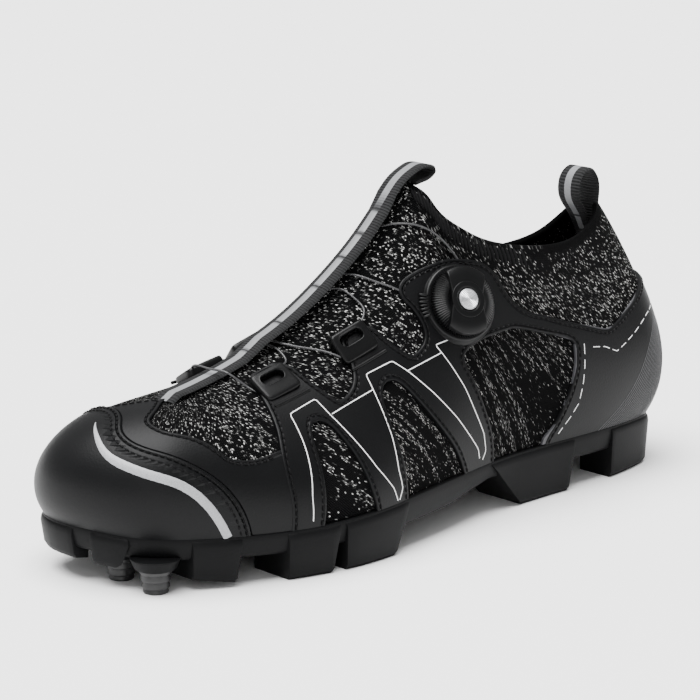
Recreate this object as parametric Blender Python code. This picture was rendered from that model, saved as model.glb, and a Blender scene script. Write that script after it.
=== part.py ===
# Left cycling shoe: knit sock upper with side panels, lace dial and studded outsole.
# Toe towards -X, lateral side towards -Y, floor at Z = 0.
import math
import bpy
import bmesh
import numpy as np
from mathutils import Matrix, Vector
from mathutils.bvhtree import BVHTree

# Shoe size: foot line from toe tip to heel back, ball, bed to tongue top, floor to bed
SOLE_LENGTH = 0.2815
BALL_WIDTH = 0.0955
UPPER_HEIGHT = 0.1060
STACK_HEIGHT = 0.0200

# Walls and clearances
KNIT_WALL = 0.0022
PANEL_THICK = 0.0010
PANEL_TOP_REACH = 0.0098
CAP_RAISE = 0.0003
SIDE_RAISE = 0.0002
GAP = 0.0003
SEAM_GAP = 0.0006
INSOLE_THICK = 0.0030
SOLE_LIP = 0.0004
LUG_PROUD = 0.0009
EDGE_ROUND = 0.0006

# Hardware
DIAL_RADIUS = 0.0132
DIAL_HEIGHT = 0.0054
DIAL_CAP_RADIUS = 0.0044
DIAL_CAP_HEIGHT = 0.0008
DIAL_SEAT_RADIUS = 0.0152
DIAL_SEAT_HEIGHT = 0.0030
DIAL_SEAT_FOOT = 0.0090
DIAL_SEAT_SPREAD = 0.0010
DIAL_SIDES = 28
DIAL_RIBS = 26
DIAL_RIB_DEPTH = 0.0005
GUIDE_LENGTH = 0.0140
GUIDE_WIDTH = 0.0100
GUIDE_HEIGHT = 0.0030
GUIDE_FOOT = 0.0030
GUIDE_SLOT_LENGTH = 0.0088
GUIDE_SLOT_WIDTH = 0.0034
STUD_RADIUS = 0.0058
STUD_LENGTH = 0.0085
STUD_TIP_RADIUS = 0.0046
STUD_COLLAR_RADIUS = 0.0092
STUD_COLLAR_FOOT = 0.0074
STUD_RINGS = 3
STUD_SIDES = 12
CABLE_RADIUS = 0.0006
WEB_THICK = 0.0015
FRONT_WEB_WIDTH = 0.0110
HEEL_WEB_WIDTH = 0.0120
CLEAT_SLOT_LENGTH = 0.0300
CLEAT_SLOT_WIDTH = 0.0060
CLEAT_SLOT_DEPTH = 0.0040
CLEAT_SLOT_SPACING = 0.0140
CLEAT_SLOT_OVERCUT = 0.0020

# World origin under the middle of the shoe, as shares of the sole length and ball width
MIDDLE_ALONG = 0.5062
MIDDLE_ACROSS = -0.029

# Grid of the skin: columns for each row of the table, profile heights, shading break angle
SECTION_STEPS = 2
SKIN_HEIGHTS = (0.0, 0.10, 0.22, 0.35, 0.48, 0.61, 0.74, 0.87, 1.0)
FLAT_ANGLE = 35.0

# Upper sections from toe tip to heel. The foot point (along, lateral, medial) is joined to the
# top line point (top_along, top_half, top_rise). Flare and lift pull the side out of the sole,
# pull_along, pull_out and pull_up shape its way into the top line.
# Lengths along are shares of SOLE_LENGTH, those across of BALL_WIDTH, rises of UPPER_HEIGHT.
LAST_COLUMNS = ("along", "lateral", "medial", "top_along", "top_half", "top_rise", "medial_drop",
                "flare", "lift", "pull_along", "pull_out", "pull_up")
LAST_ROWS = (
    (0.000, -0.126, 0.126, 0.146, 0.000, 0.396, 0.000, 0.126, 0.179, -0.124, 0.000, 0.000),
    (0.028, 0.168, 0.325, 0.147, 0.000, 0.397, 0.000, 0.115, 0.179, -0.089, 0.251, 0.000),
    (0.089, 0.335, 0.408, 0.156, 0.000, 0.402, 0.000, 0.084, 0.198, -0.043, 0.314, 0.000),
    (0.199, 0.466, 0.455, 0.192, 0.000, 0.422, 0.000, 0.052, 0.226, -0.014, 0.293, -0.009),
    (0.313, 0.529, 0.471, 0.252, 0.000, 0.467, 0.000, 0.021, 0.236, 0.000, 0.251, -0.028),
    (0.409, 0.503, 0.436, 0.334, 0.000, 0.552, 0.000, 0.010, 0.274, 0.000, 0.220, -0.047),
    (0.480, 0.461, 0.393, 0.409, 0.000, 0.670, 0.000, 0.010, 0.311, 0.000, 0.204, -0.066),
    (0.533, 0.427, 0.364, 0.476, 0.000, 0.806, 0.000, 0.021, 0.330, -0.005, 0.188, -0.075),
    (0.568, 0.405, 0.340, 0.522, 0.000, 0.928, 0.000, 0.031, 0.330, -0.010, 0.173, -0.080),
    (0.597, 0.388, 0.325, 0.551, 0.000, 1.009, 0.000, 0.042, 0.330, -0.012, 0.147, -0.094),
    (0.625, 0.375, 0.314, 0.561, 0.100, 0.975, -0.009, 0.047, 0.326, -0.009, 0.052, -0.132),
    (0.657, 0.365, 0.310, 0.577, 0.160, 0.901, -0.019, 0.047, 0.321, -0.008, 0.038, -0.151),
    (0.693, 0.358, 0.309, 0.608, 0.198, 0.838, -0.038, 0.052, 0.311, -0.005, 0.047, -0.179),
    (0.746, 0.350, 0.309, 0.656, 0.220, 0.778, -0.057, 0.073, 0.292, 0.000, 0.060, -0.208),
    (0.810, 0.345, 0.313, 0.732, 0.230, 0.736, -0.075, 0.094, 0.292, 0.004, 0.071, -0.236),
    (0.877, 0.325, 0.306, 0.810, 0.199, 0.722, -0.057, 0.127, 0.283, 0.014, 0.073, -0.245),
    (0.932, 0.288, 0.272, 0.868, 0.150, 0.736, -0.038, 0.158, 0.264, 0.036, 0.084, -0.250),
    (0.972, 0.215, 0.200, 0.916, 0.095, 0.769, 0.000, 0.184, 0.250, 0.060, 0.063, -0.245),
    (0.992, 0.000, 0.000, 0.940, 0.000, 0.811, 0.000, 0.191, 0.245, 0.075, 0.000, -0.245),
)
TONGUE_ROW = 9

# Sole sections: foot bed, lower edge of the side band, lowest tread, as shares of STACK_HEIGHT
SOLE_COLUMNS = ("along", "bed", "band", "tread")
SOLE_ROWS = (
    (0.00, 1.075, 0.650, 0.460),
    (0.03, 1.025, 0.610, 0.390),
    (0.09, 0.975, 0.560, 0.210),
    (0.15, 0.940, 0.520, 0.065),
    (0.19, 0.925, 0.500, 0.000),
    (0.31, 0.950, 0.500, 0.000),
    (0.41, 1.005, 0.490, 0.000),
    (0.51, 1.045, 0.525, 0.000),
    (0.60, 1.070, 0.720, 0.000),
    (0.70, 1.080, 0.650, 0.000),
    (0.78, 1.080, 0.600, 0.000),
    (0.90, 1.065, 0.590, 0.000),
    (0.97, 1.035, 0.580, 0.000),
    (1.00, 1.025, 0.575, 0.075),
)

# Tread lugs in side view: where each starts and ends at the band and at the floor (shares of
# SOLE_LENGTH), and how far it reaches in from the edge (share of BALL_WIDTH)
LUG_COLUMNS = ("top_front", "foot_front", "foot_rear", "top_rear", "reach")
LUG_ROWS = {
    "tip": (-0.030, -0.030, 0.022, 0.030, 0.30),
    "shoulder": (0.088, 0.092, 0.142, 0.150, 0.22),
    "ball_front": (0.200, 0.204, 0.255, 0.266, 0.22),
    "ball_rear": (0.290, 0.293, 0.380, 0.410, 0.22),
    "heel_breast": (0.592, 0.668, 0.765, 0.775, 0.24),
    "heel_back": (0.856, 0.858, 1.030, 1.030, 0.11),
}
LUG_ROOT = 0.72
CLEAT_PLACE = 0.36
TREAD_GROOVE = 0.0040
STUDS = {"lateral": (0.0565, -0.243), "medial": (0.0585, -0.028)}

# Edge of the toe cap over the toe: row of the last table (medial side negative) and share of
# the profile height; then the knit edge of the vamp panel behind it
CAP_EDGE = ((-3.4, -0.30), (-3.05, 0.0), (-2.75, 0.25), (-2.35, 0.44), (-1.8, 0.60), (-1.2, 0.72),
            (-0.6, 0.785), (-0.1, 0.785), (0.23, 0.742), (0.46, 0.675), (0.75, 0.612), (1.41, 0.54),
            (1.98, 0.444), (2.35, 0.321), (2.54, 0.196), (2.68, 0.0), (2.80, -0.30))
VAMP_EDGE = ((-5.0, 0.42), (-3.4, 0.43), (-2.7, 0.50), (-2.0, 0.68), (-1.1, 0.84), (0.0, 0.94),
             (0.7, 0.85), (1.2, 0.73), (1.9, 0.61), (2.4, 0.49), (2.8, 0.42), (3.4, 0.42),
             (5.0, 0.42))
PROFILE_SPAN = 2.4

# Stretches of the skin that the panels are cut from: finger panels along the length, counter
# panel from its front and up to its height, toe panels in rows of the last table
SIDE_SPAN = (0.18, 0.75)
COUNTER_SPAN = (0.62, 0.62)
TOE_ROWS = 4.5

# Panel outlines in side view: shares of SOLE_LENGTH and of UPPER_HEIGHT above the bed
SIDE_FRONT = ((0.213, -0.15), (0.213, 0.075), (0.210, 0.16), (0.214, 0.24), (0.228, 0.315),
              (0.236, 0.365))
SIDE_REAR = ((0.661, 0.478), (0.604, 0.460), (0.556, 0.432), (0.572, 0.330), (0.588, 0.215),
             (0.600, 0.120), (0.604, 0.030), (0.607, -0.15))
LATERAL_TOP = ((0.245, 0.415), (0.257, 0.452), (0.302, 0.476), (0.312, 0.425), (0.334, 0.363),
               (0.370, 0.392), (0.384, 0.452), (0.387, 0.542), (0.430, 0.566), (0.444, 0.510),
               (0.476, 0.458), (0.506, 0.500), (0.502, 0.622), (0.520, 0.694), (0.575, 0.728),
               (0.622, 0.708), (0.648, 0.660), (0.661, 0.566))
MEDIAL_TOP = ((0.216, 0.405), (0.224, 0.452), (0.264, 0.476), (0.274, 0.425), (0.290, 0.372),
              (0.304, 0.395), (0.314, 0.482), (0.360, 0.512), (0.370, 0.450), (0.400, 0.424),
              (0.418, 0.480), (0.424, 0.580), (0.470, 0.620), (0.484, 0.560), (0.525, 0.530),
              (0.590, 0.545), (0.661, 0.566))
WINDOW_FRONT = ((0.258, -0.15), (0.264, 0.15), (0.271, 0.272), (0.285, 0.310), (0.302, 0.308),
                (0.316, 0.245), (0.331, 0.150), (0.364, -0.15))
WINDOW_MIDDLE = ((0.410, -0.15), (0.405, 0.150), (0.401, 0.265), (0.409, 0.360), (0.424, 0.388),
                 (0.441, 0.378), (0.458, 0.320), (0.487, 0.217), (0.530, 0.065), (0.560, -0.15))
COUNTER_SIDE = ((0.690, -0.15), (0.711, 0.040), (0.736, 0.095), (0.761, 0.217), (0.771, 0.320),
                (0.771, 0.386), (0.722, 0.434), (0.662, 0.481), (0.662, 0.566), (0.686, 0.523),
                (0.725, 0.495), (0.754, 0.462), (0.796, 0.434), (0.846, 0.397), (0.868, 0.401),
                (0.914, 0.453), (0.952, 0.495), (0.982, 0.523), (1.120, 0.540), (1.120, -0.15))

# Where hardware sits in side view, same shares, and the rise of the guides' long side
LATERAL_GUIDES = {"front": (0.280, 0.425), "rear": (0.410, 0.520)}
MEDIAL_GUIDES = {"front": (0.245, 0.430), "middle": (0.3375, 0.465), "rear": (0.4476, 0.555)}
GUIDE_SLOPE = 0.28
DIAL_PLACE = (0.570, 0.592)
DIAL_AXIS = (-0.19, -0.90, 0.40)
DIAL_TURN = -0.15

# Cable crossings: lateral end, both edges of the strip and medial end on the skin, along as
# share of length; then how far out the two ends lie, as share of width. Lifts are of the cable's
# middle over the knit: under the strip, at the ends, and of the foremost crossing over the strip
CABLE_COLUMNS = ("lateral_end", "lateral_edge", "medial_edge", "medial_end", "out", "reach")
CABLE_ROWS = {
    "front": (0.306, 0.308, 0.286, 0.2735, 0.155, 0.140),
    "middle_front": (0.364, 0.338, 0.318, 0.3100, 0.175, 0.140),
    "middle_rear": (0.437, 0.429, 0.390, 0.3655, 0.170, 0.145),
    "rear": (0.499, 0.470, 0.430, 0.4200, 0.165, 0.140),
}
CABLE_STEPS = 8
LONG_CABLE_STEPS = 11
CABLE_LIFT = 0.0016
CABLE_END_LIFT = 0.0029
CABLE_RISE = (0.070, 0.110)
OVER_STRIP = 0.0040
TOE_CABLE = ((0.2460, -0.200), (0.2320, -0.140), (0.2200, -0.090), (0.2150, 0.000), (0.2130, 0.090),
             (0.2115, 0.145))
DIAL_CABLE_SIDE = ((0.5510, 0.758), (0.5450, 0.785), (0.5350, 0.832))
DIAL_CABLE_TOP = ((0.5220, -0.060), (0.5080, 0.010), (0.4900, 0.085), (0.4760, 0.150))

# Front pull strip: ridge stretch it covers, then its loop at the tongue top, side view shares
STRIP_FRONT = 0.152
STRIP_LEAVE = 0.513
RIDGE_REACH = 0.0300
STRIP_STIFF = 0.5
STRIP_STEPS = 12
LOOP_STEPS = 12
HEEL_STEPS = 25
STRIP_RISE = (0.262, 0.300)
STRIP_LOOP = ((0.527, 0.972), (0.545, 1.017), (0.570, 1.048), (0.594, 1.054), (0.605, 1.037),
              (0.594, 1.018), (0.580, 1.012), (0.568, 1.010))
HEEL_LOOP = ((0.9015, 0.660), (0.9015, 0.740), (0.9020, 0.790), (0.9065, 0.830), (0.9110, 0.862),
             (0.9115, 0.900), (0.9055, 0.932), (0.8935, 0.942), (0.8830, 0.926), (0.8810, 0.900),
             (0.8850, 0.865), (0.8925, 0.825), (0.8980, 0.780), (0.8990, 0.720), (0.8990, 0.660))

COLOURS = {
    "knit": (0.020, 0.021, 0.022, 0.85),
    "panel": (0.030, 0.032, 0.034, 0.45),
    "rubber": (0.020, 0.021, 0.022, 0.60),
    "stud": (0.030, 0.030, 0.032, 0.50),
    "plastic": (0.012, 0.013, 0.014, 0.35),
    "webbing": (0.030, 0.031, 0.033, 0.80),
    "foam": (0.035, 0.036, 0.038, 0.90),
    "silver": (0.550, 0.560, 0.570, 0.35),
    "cable": (0.060, 0.060, 0.062, 0.40),
}


def natural_spline(knots, values, at):
    # cubic through the knots with straight ends
    size = len(knots)
    step = np.diff(knots)
    slope = np.diff(values) / step
    matrix = np.eye(size)
    bend = np.zeros(size)
    for row in range(1, size - 1):
        matrix[row, row - 1] = step[row - 1]
        matrix[row, row] = 2.0 * (step[row - 1] + step[row])
        matrix[row, row + 1] = step[row]
        bend[row] = 6.0 * (slope[row] - slope[row - 1])
    curve = np.linalg.solve(matrix, bend)
    cell = np.clip(np.searchsorted(knots, at) - 1, 0, size - 2)
    t = at - knots[cell]
    h = step[cell]
    linear = slope[cell] - h * (2.0 * curve[cell] + curve[cell + 1]) / 6.0
    cubic = (curve[cell + 1] - curve[cell]) / (6.0 * h)
    return values[cell] + t * (linear + t * (curve[cell] / 2.0 + t * cubic))


def loop_spline(values, at):
    # closed cubic over whole-number knots, first value repeated at the end
    span = len(values) - 1
    pad = 4
    knots = np.arange(-pad, span + pad + 1, dtype=float)
    padded = np.concatenate([values[-pad - 1:-1], values, values[1:pad + 1]])
    return natural_spline(knots, padded, np.mod(at, span))


def last_column(name):
    return np.array([row[LAST_COLUMNS.index(name)] for row in LAST_ROWS])


def around(lateral, medial):
    # toe tip, down the lateral side to the heel, back up the medial side
    return np.concatenate([lateral, medial[::-1][1:]])


ROW_COUNT = len(LAST_ROWS)
LOOP_SPAN = 2 * (ROW_COUNT - 1)
HEEL_AT = ROW_COUNT - 1


def sole_level(name, x):
    # height of one sole line at distance x behind the toe tip
    along = np.array([row[0] for row in SOLE_ROWS]) * SOLE_LENGTH
    level = np.array([row[SOLE_COLUMNS.index(name)] for row in SOLE_ROWS]) * STACK_HEIGHT
    inside = np.clip(x, along[0], along[-1])
    if name == "bed":
        return natural_spline(along, level, inside)
    return np.interp(inside, along, level)


def foot_line(u):
    along = last_column("along") * SOLE_LENGTH
    x = loop_spline(around(along, along), u)
    lateral = -last_column("lateral") * BALL_WIDTH
    medial = last_column("medial") * BALL_WIDTH
    return np.stack([x, loop_spline(around(lateral, medial), u)], axis=-1)


def outward(u):
    # plan direction pointing away from the foot, square to the foot line
    step = 0.001
    run = foot_line(u + step) - foot_line(u - step)
    run /= np.linalg.norm(run, axis=1)[:, None]
    return np.stack([run[:, 1], -run[:, 0]], axis=-1)


def top_line(u):
    # ridge over the instep up to the tongue top, then the collar rim round the ankle
    side = np.where(u > HEEL_AT, LOOP_SPAN - u, u)
    ridge = np.arange(TONGUE_ROW + 1, dtype=float)
    along = last_column("top_along") * SOLE_LENGTH
    rise = last_column("top_rise") * UPPER_HEIGHT
    half = last_column("top_half") * BALL_WIDTH
    drop = last_column("medial_drop") * UPPER_HEIGHT
    x = natural_spline(ridge, along[:TONGUE_ROW + 1], side)
    y = np.zeros(len(u))
    z = natural_spline(ridge, rise[:TONGUE_ROW + 1], side)
    rim = (u >= TONGUE_ROW) & (u <= LOOP_SPAN - TONGUE_ROW)
    at = u[rim] - TONGUE_ROW
    collar = slice(TONGUE_ROW, None)
    x[rim] = loop_spline(around(along[collar], along[collar]), at)
    y[rim] = loop_spline(around(-half[collar], half[collar]), at)
    z[rim] = loop_spline(around(rise[collar], (rise + drop)[collar]), at)
    return np.stack([x, y, z + STACK_HEIGHT], axis=-1)


def skin(u, heights):
    # outer face of the panels: one cubic profile for each column, from foot line to top line
    u = np.asarray(u, dtype=float)
    foot = foot_line(u)
    start = np.column_stack([foot, sole_level("bed", foot[:, 0])])
    out = outward(u)
    flare = loop_spline(around(last_column("flare"), last_column("flare")), u) * BALL_WIDTH
    lift = loop_spline(around(last_column("lift"), last_column("lift")), u) * UPPER_HEIGHT
    low = start + np.column_stack([out * flare[:, None], lift])
    end = top_line(u)
    pull_x = loop_spline(around(last_column("pull_along"), last_column("pull_along")), u)
    pull_y = loop_spline(around(-last_column("pull_out"), last_column("pull_out")), u)
    pull_z = loop_spline(around(last_column("pull_up"), last_column("pull_up")), u)
    high = end + np.column_stack([pull_x * SOLE_LENGTH, pull_y * BALL_WIDTH, pull_z * UPPER_HEIGHT])
    h = np.asarray(heights, dtype=float)[None, :, None]
    k = 1.0 - h
    return (k ** 3 * start[:, None] + 3 * k * k * h * low[:, None]
            + 3 * k * h * h * high[:, None] + h ** 3 * end[:, None])


def skin_columns():
    # column positions round the shoe
    return np.arange(LOOP_SPAN * SECTION_STEPS) / SECTION_STEPS


def new_object(name, mesh, material):
    body = bpy.data.objects.new(name, mesh)
    bpy.context.collection.objects.link(body)
    if material:
        body.data.materials.append(materials[material])
    return body


def mesh_object(name, vertices, faces, material, smooth=True):
    # closed body from plain lists, welded, faces outward
    mesh = bpy.data.meshes.new(name)
    mesh.from_pydata([tuple(v) for v in vertices], [], faces)
    work = bmesh.new()
    work.from_mesh(mesh)
    bmesh.ops.remove_doubles(work, verts=work.verts, dist=0.00001)
    bmesh.ops.dissolve_degenerate(work, edges=work.edges, dist=0.00001)
    bmesh.ops.recalc_face_normals(work, faces=work.faces)
    for face in work.faces:
        face.smooth = smooth
    work.to_mesh(mesh)
    work.free()
    mesh.set_sharp_from_angle(angle=math.radians(FLAT_ANGLE))
    return new_object(name, mesh, material)


def make_material(name, values):
    material = bpy.data.materials.new(name)
    material.use_nodes = True
    shader = material.node_tree.nodes["Principled BSDF"]
    shader.inputs["Base Color"].default_value = (*values[:3], 1.0)
    shader.inputs["Roughness"].default_value = values[3]
    shader.inputs["Metallic"].default_value = 1.0 if name == "silver" else 0.0
    return material


class SkinGrid:
    # skin points and normals on a welded grid, for shells at any offset
    def __init__(self):
        self.u = skin_columns()
        self.heights = np.array(SKIN_HEIGHTS)
        self.points = skin(self.u, self.heights)
        self.columns = len(self.u)
        self.rows = len(self.heights)
        self.tongue = int(np.argmin(np.abs(self.u - TONGUE_ROW)))
        self.normals = self.weld_normals()

    def twin(self, column, row):
        # vertex shared by both sides along the ridge
        on_ridge = row == self.rows - 1
        back = self.columns - column
        if on_ridge and self.columns - self.tongue <= column < self.columns:
            return back * self.rows + row
        return column * self.rows + row

    def cells(self):
        # triangles of the grid as corners of (column, row), two to a cell
        corners = []
        for column in range(self.columns):
            following = (column + 1) % self.columns
            for row in range(self.rows - 1):
                corners.append(((column, row), (following, row), (following, row + 1)))
                corners.append(((column, row), (following, row + 1), (column, row + 1)))
        return corners

    def weld_normals(self):
        flat = self.points.reshape(-1, 3)
        total = np.zeros_like(flat)
        for cell in self.cells():
            index = [self.twin(*corner) for corner in cell]
            a, b, c = flat[index]
            normal = np.cross(b - a, c - a)
            for corner in set(index):
                total[corner] += normal
        for column in range(self.columns):
            row = self.rows - 1
            total[column * self.rows + row] = total[self.twin(column, row)]
        total /= np.linalg.norm(total, axis=1)[:, None]
        middle = flat.mean(axis=0)
        low = flat[self.rows // 2] - middle
        if np.dot(total[self.rows // 2], low) < 0.0:
            total = -total
        return total.reshape(self.points.shape)

    def shell(self, offset):
        # points of the skin moved along the normals, foot row kept on the foot bed
        moved = self.points + self.normals * offset
        moved[:, 0, 2] = sole_level("bed", moved[:, 0, 0]) + GAP
        on_ridge = np.r_[0:self.tongue + 1, self.columns - self.tongue:self.columns]
        moved[on_ridge, -1, 1] = 0.0
        return moved


def shell_faces(grid, base, flip):
    faces = []
    for cell in grid.cells():
        corners = [base + column * grid.rows + row for column, row in cell]
        faces.append(corners[::-1] if flip else corners)
    return faces


def make_upper(grid):
    # knit sock: outer and inner shells joined at the foot and round the collar rim
    outer = grid.shell(-PANEL_THICK - GAP)
    inner = grid.shell(-PANEL_THICK - GAP - KNIT_WALL)
    vertices = list(outer.reshape(-1, 3)) + list(inner.reshape(-1, 3))
    count = grid.columns * grid.rows
    faces = shell_faces(grid, 0, False) + shell_faces(grid, count, True)
    for column in range(grid.columns):
        a = column * grid.rows
        b = (column + 1) % grid.columns * grid.rows
        faces.append([a, a + count, b + count, b])
    rim = list(range(grid.tongue, grid.columns - grid.tongue + 1))
    crown = {}
    for column in rim:
        top = column * grid.rows + grid.rows - 1
        middle = (vertices[top] + vertices[top + count]) / 2.0
        middle[2] += KNIT_WALL / 2.0
        crown[column] = len(vertices)
        vertices.append(middle)
    for column in rim[:-1]:
        a = column * grid.rows + grid.rows - 1
        b = a + grid.rows
        faces.append([a, b, crown[column + 1], crown[column]])
        faces.append([crown[column], crown[column + 1], b + count, a + count])
    return mesh_object("knit_upper", vertices, faces, "knit")


def skin_body(grid, offset):
    # closed body inside one shell, to cut the undersides of hardware with
    outer = grid.shell(offset)
    vertices = list(outer.reshape(-1, 3))
    faces = shell_faces(grid, 0, False)
    for side, row in ((0, 0), (1, grid.rows - 1)):
        half = grid.columns // 2
        first = 0 if side == 0 else grid.tongue
        for column in range(first, half):
            a = column * grid.rows + row
            c = (grid.columns - column) % grid.columns * grid.rows + row
            b = (column + 1) * grid.rows + row
            d = (grid.columns - column - 1) * grid.rows + row
            faces.append([a, b, d, c])
    body = mesh_object("skin_cutter", vertices, faces, None)
    hide(body)
    return body


def hide(cutter):
    cutter.hide_render = True
    cutter.hide_viewport = False
    cutter.display_type = "WIRE"


def cut_cells(polygons, keep):
    # part of each polygon where keep(point) is positive, new corners on its edges
    result = []
    for polygon in polygons:
        values = [keep(corner) for corner in polygon]
        piece = []
        for k, corner in enumerate(polygon):
            following = (k + 1) % len(polygon)
            here = values[k]
            there = values[following]
            if here >= 0.0:
                piece.append(corner)
            if (here > 0.0 > there) or (here < 0.0 < there):
                share = here / (here - there)
                piece.append(corner + (polygon[following] - corner) * share)
        if len(piece) > 2:
            result.append(piece)
    return result


def grid_polygons(grid):
    # grid triangles whose corners carry point, normal, loop position and height share
    polygons = []
    for cell in grid.cells():
        corners = []
        for column, row in cell:
            u = grid.u[column]
            u = u if u <= HEEL_AT else u - LOOP_SPAN
            corners.append(np.concatenate([grid.points[column, row], grid.normals[column, row],
                                           [u, grid.heights[row]]]))
        if max(corner[6] for corner in corners) > HEEL_AT - 1:
            for corner in corners:
                corner[6] += LOOP_SPAN if corner[6] < 0.0 else 0.0
        polygons.append(corners)
    return polygons


def thicken(name, polygons, low, high, material):
    # panel between two offsets of the skin, closed round its edge
    index = {}
    points = []
    rings = []
    for polygon in polygons:
        ring = []
        for corner in polygon:
            key = tuple(np.round(corner[:3], 7))
            if key not in index:
                index[key] = len(points)
                points.append(corner)
            if index[key] not in ring:
                ring.append(index[key])
        if len(ring) > 2:
            rings.append(ring)
    points = np.array(points)
    below = points[:, :3] + points[:, 3:6] * low
    above = points[:, :3] + points[:, 3:6] * high
    on_foot = points[:, 7] < 0.0001
    for layer in (below, above):
        layer[on_foot, 2] = sole_level("bed", layer[on_foot, 0]) + GAP
    count = len(points)
    faces = [[i + count for i in ring] for ring in rings] + [ring[::-1] for ring in rings]
    edges = {}
    for ring in rings:
        for k, a in enumerate(ring):
            edges[(a, ring[(k + 1) % len(ring)])] = True
    for a, b in edges:
        if (b, a) not in edges:
            faces.append([a, b, b + count, a + count])
    return mesh_object(name, list(below) + list(above), faces, material)


def prism(name, outline, y_from, y_to):
    # side-view outline, given in shares, swept across the shoe
    points = [(along * SOLE_LENGTH, STACK_HEIGHT + rise * UPPER_HEIGHT) for along, rise in outline]
    count = len(points)
    vertices = [(x, y_from, z) for x, z in points] + [(x, y_to, z) for x, z in points]
    faces = [list(range(count)), list(range(2 * count - 1, count - 1, -1))]
    for k in range(count):
        following = (k + 1) % count
        faces.append([k, following, following + count, k + count])
    cutter = mesh_object(name, vertices, faces, None, smooth=False)
    hide(cutter)
    return cutter


def boolean(body, cutter, operation):
    step = body.modifiers.new(cutter.name, "BOOLEAN")
    step.operation = operation
    step.object = cutter
    step.solver = "EXACT"


def apply_modifiers(body):
    # the evaluated mesh replaces the plain one, modifiers gone
    graph = bpy.context.evaluated_depsgraph_get()
    mesh = bpy.data.meshes.new_from_object(body.evaluated_get(graph))
    body.modifiers.clear()
    body.data = mesh
    mesh.set_sharp_from_angle(angle=math.radians(FLAT_ANGLE))
    return body


def side_panel(name, polygons, top, toward):
    # finger panel of one side: outline and two open windows cut as prisms
    reach = BALL_WIDTH * toward
    panel_area = cut_cells(polygons, lambda c: c[1] * toward - PANEL_TOP_REACH)
    panel_area = cut_cells(panel_area, lambda c: SIDE_SPAN[1] * SOLE_LENGTH - c[0])
    panel_area = cut_cells(panel_area, lambda c: c[0] - SIDE_SPAN[0] * SOLE_LENGTH)
    panel = thicken(name, panel_area, -PANEL_THICK, SIDE_RAISE, "panel")
    outline = prism(name + "_outline", SIDE_FRONT + top + SIDE_REAR, 0.0, reach)
    boolean(panel, outline, "INTERSECT")
    cutters = [outline]
    for label, window in (("front", WINDOW_FRONT), ("middle", WINDOW_MIDDLE)):
        cutter = prism(name + "_window_" + label, window, 0.0, reach)
        boolean(panel, cutter, "DIFFERENCE")
        cutters.append(cutter)
    apply_modifiers(panel)
    for cutter in cutters:
        bpy.data.objects.remove(cutter)
    return panel


def edge_curve(table):
    # smooth run of an edge in the unrolled plane of rows and profile heights
    rows = np.array(table) * (1.0, PROFILE_SPAN)
    run = np.concatenate([[0.0], np.cumsum(np.linalg.norm(np.diff(rows, axis=0), axis=1))])
    at = np.linspace(0.0, run[-1], 80)
    return np.column_stack([natural_spline(run, rows[:, 0], at),
                            natural_spline(run, rows[:, 1], at)])


def beyond(curve, corner):
    # distance of a skin corner from an edge curve, positive on the sole's side
    here = np.array([corner[6], corner[7] * PROFILE_SPAN])
    start = curve[:-1]
    run = curve[1:] - start
    share = np.clip(((here - start) * run).sum(axis=1) / (run * run).sum(axis=1), 0.0, 1.0)
    away = here - start - run * share[:, None]
    near = np.argmin((away * away).sum(axis=1))
    side = run[near][0] * away[near][1] - run[near][1] * away[near][0]
    return math.copysign(math.hypot(*away[near]), -side)


def front_edge(z):
    # where the finger panels start, by height
    rows = np.array(SIDE_FRONT)
    levels = STACK_HEIGHT + rows[:, 1] * UPPER_HEIGHT
    return np.interp(z, levels, rows[:, 0] * SOLE_LENGTH)


def make_panels(grid):
    polygons = grid_polygons(grid)
    front = cut_cells(polygons, lambda c: TOE_ROWS - abs(c[6]))
    cap_edge = edge_curve(CAP_EDGE)
    vamp_edge = edge_curve(VAMP_EDGE)
    cap = cut_cells(front, lambda c: beyond(cap_edge, c))
    thicken("toe_cap", cap, -PANEL_THICK, CAP_RAISE, "panel")
    seam = SEAM_GAP * PROFILE_SPAN / UPPER_HEIGHT
    vamp = cut_cells(front, lambda c: -beyond(cap_edge, c) - seam)
    vamp = cut_cells(vamp, lambda c: beyond(vamp_edge, c))
    vamp = cut_cells(vamp, lambda c: front_edge(c[2]) - 2.0 * SEAM_GAP - c[0])
    thicken("vamp_panel", vamp, -PANEL_THICK, 0.0, "panel")
    side_panel("lateral_side_panel", polygons, LATERAL_TOP, -1.0)
    side_panel("medial_side_panel", polygons, MEDIAL_TOP, 1.0)
    rear = cut_cells(polygons, lambda c: c[0] - COUNTER_SPAN[0] * SOLE_LENGTH)
    rear = cut_cells(rear, lambda c: STACK_HEIGHT + COUNTER_SPAN[1] * UPPER_HEIGHT - c[2])
    counter = thicken("heel_counter_panel", rear, -PANEL_THICK, 0.0, "panel")
    outline = prism("counter_outline", COUNTER_SIDE, -BALL_WIDTH, BALL_WIDTH)
    boolean(counter, outline, "INTERSECT")
    apply_modifiers(counter)
    bpy.data.objects.remove(outline)


def outline_loop(u, offset):
    return foot_line(u) + outward(u) * offset


def layered_body(name, u, layers, material):
    # body of stacked outlines: each layer has an offset and a height for every column
    count = len(u)
    vertices = []
    for offset, level in layers:
        plan = outline_loop(u, offset)
        vertices += [(x, y, z) for (x, y), z in zip(plan, level(plan[:, 0]))]
    faces = []
    for layer in range(len(layers) - 1):
        base = layer * count
        for k in range(count):
            following = (k + 1) % count
            faces.append([base + k, base + following, base + following + count, base + k + count])
    for base in (0, (len(layers) - 1) * count):
        for k in range(count // 2):
            a, b = base + k, base + k + 1
            c, d = base + (count - k) % count, base + count - k - 1
            faces.append([a, b, d, c])
    return mesh_object(name, vertices, faces, material, smooth=False)


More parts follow.
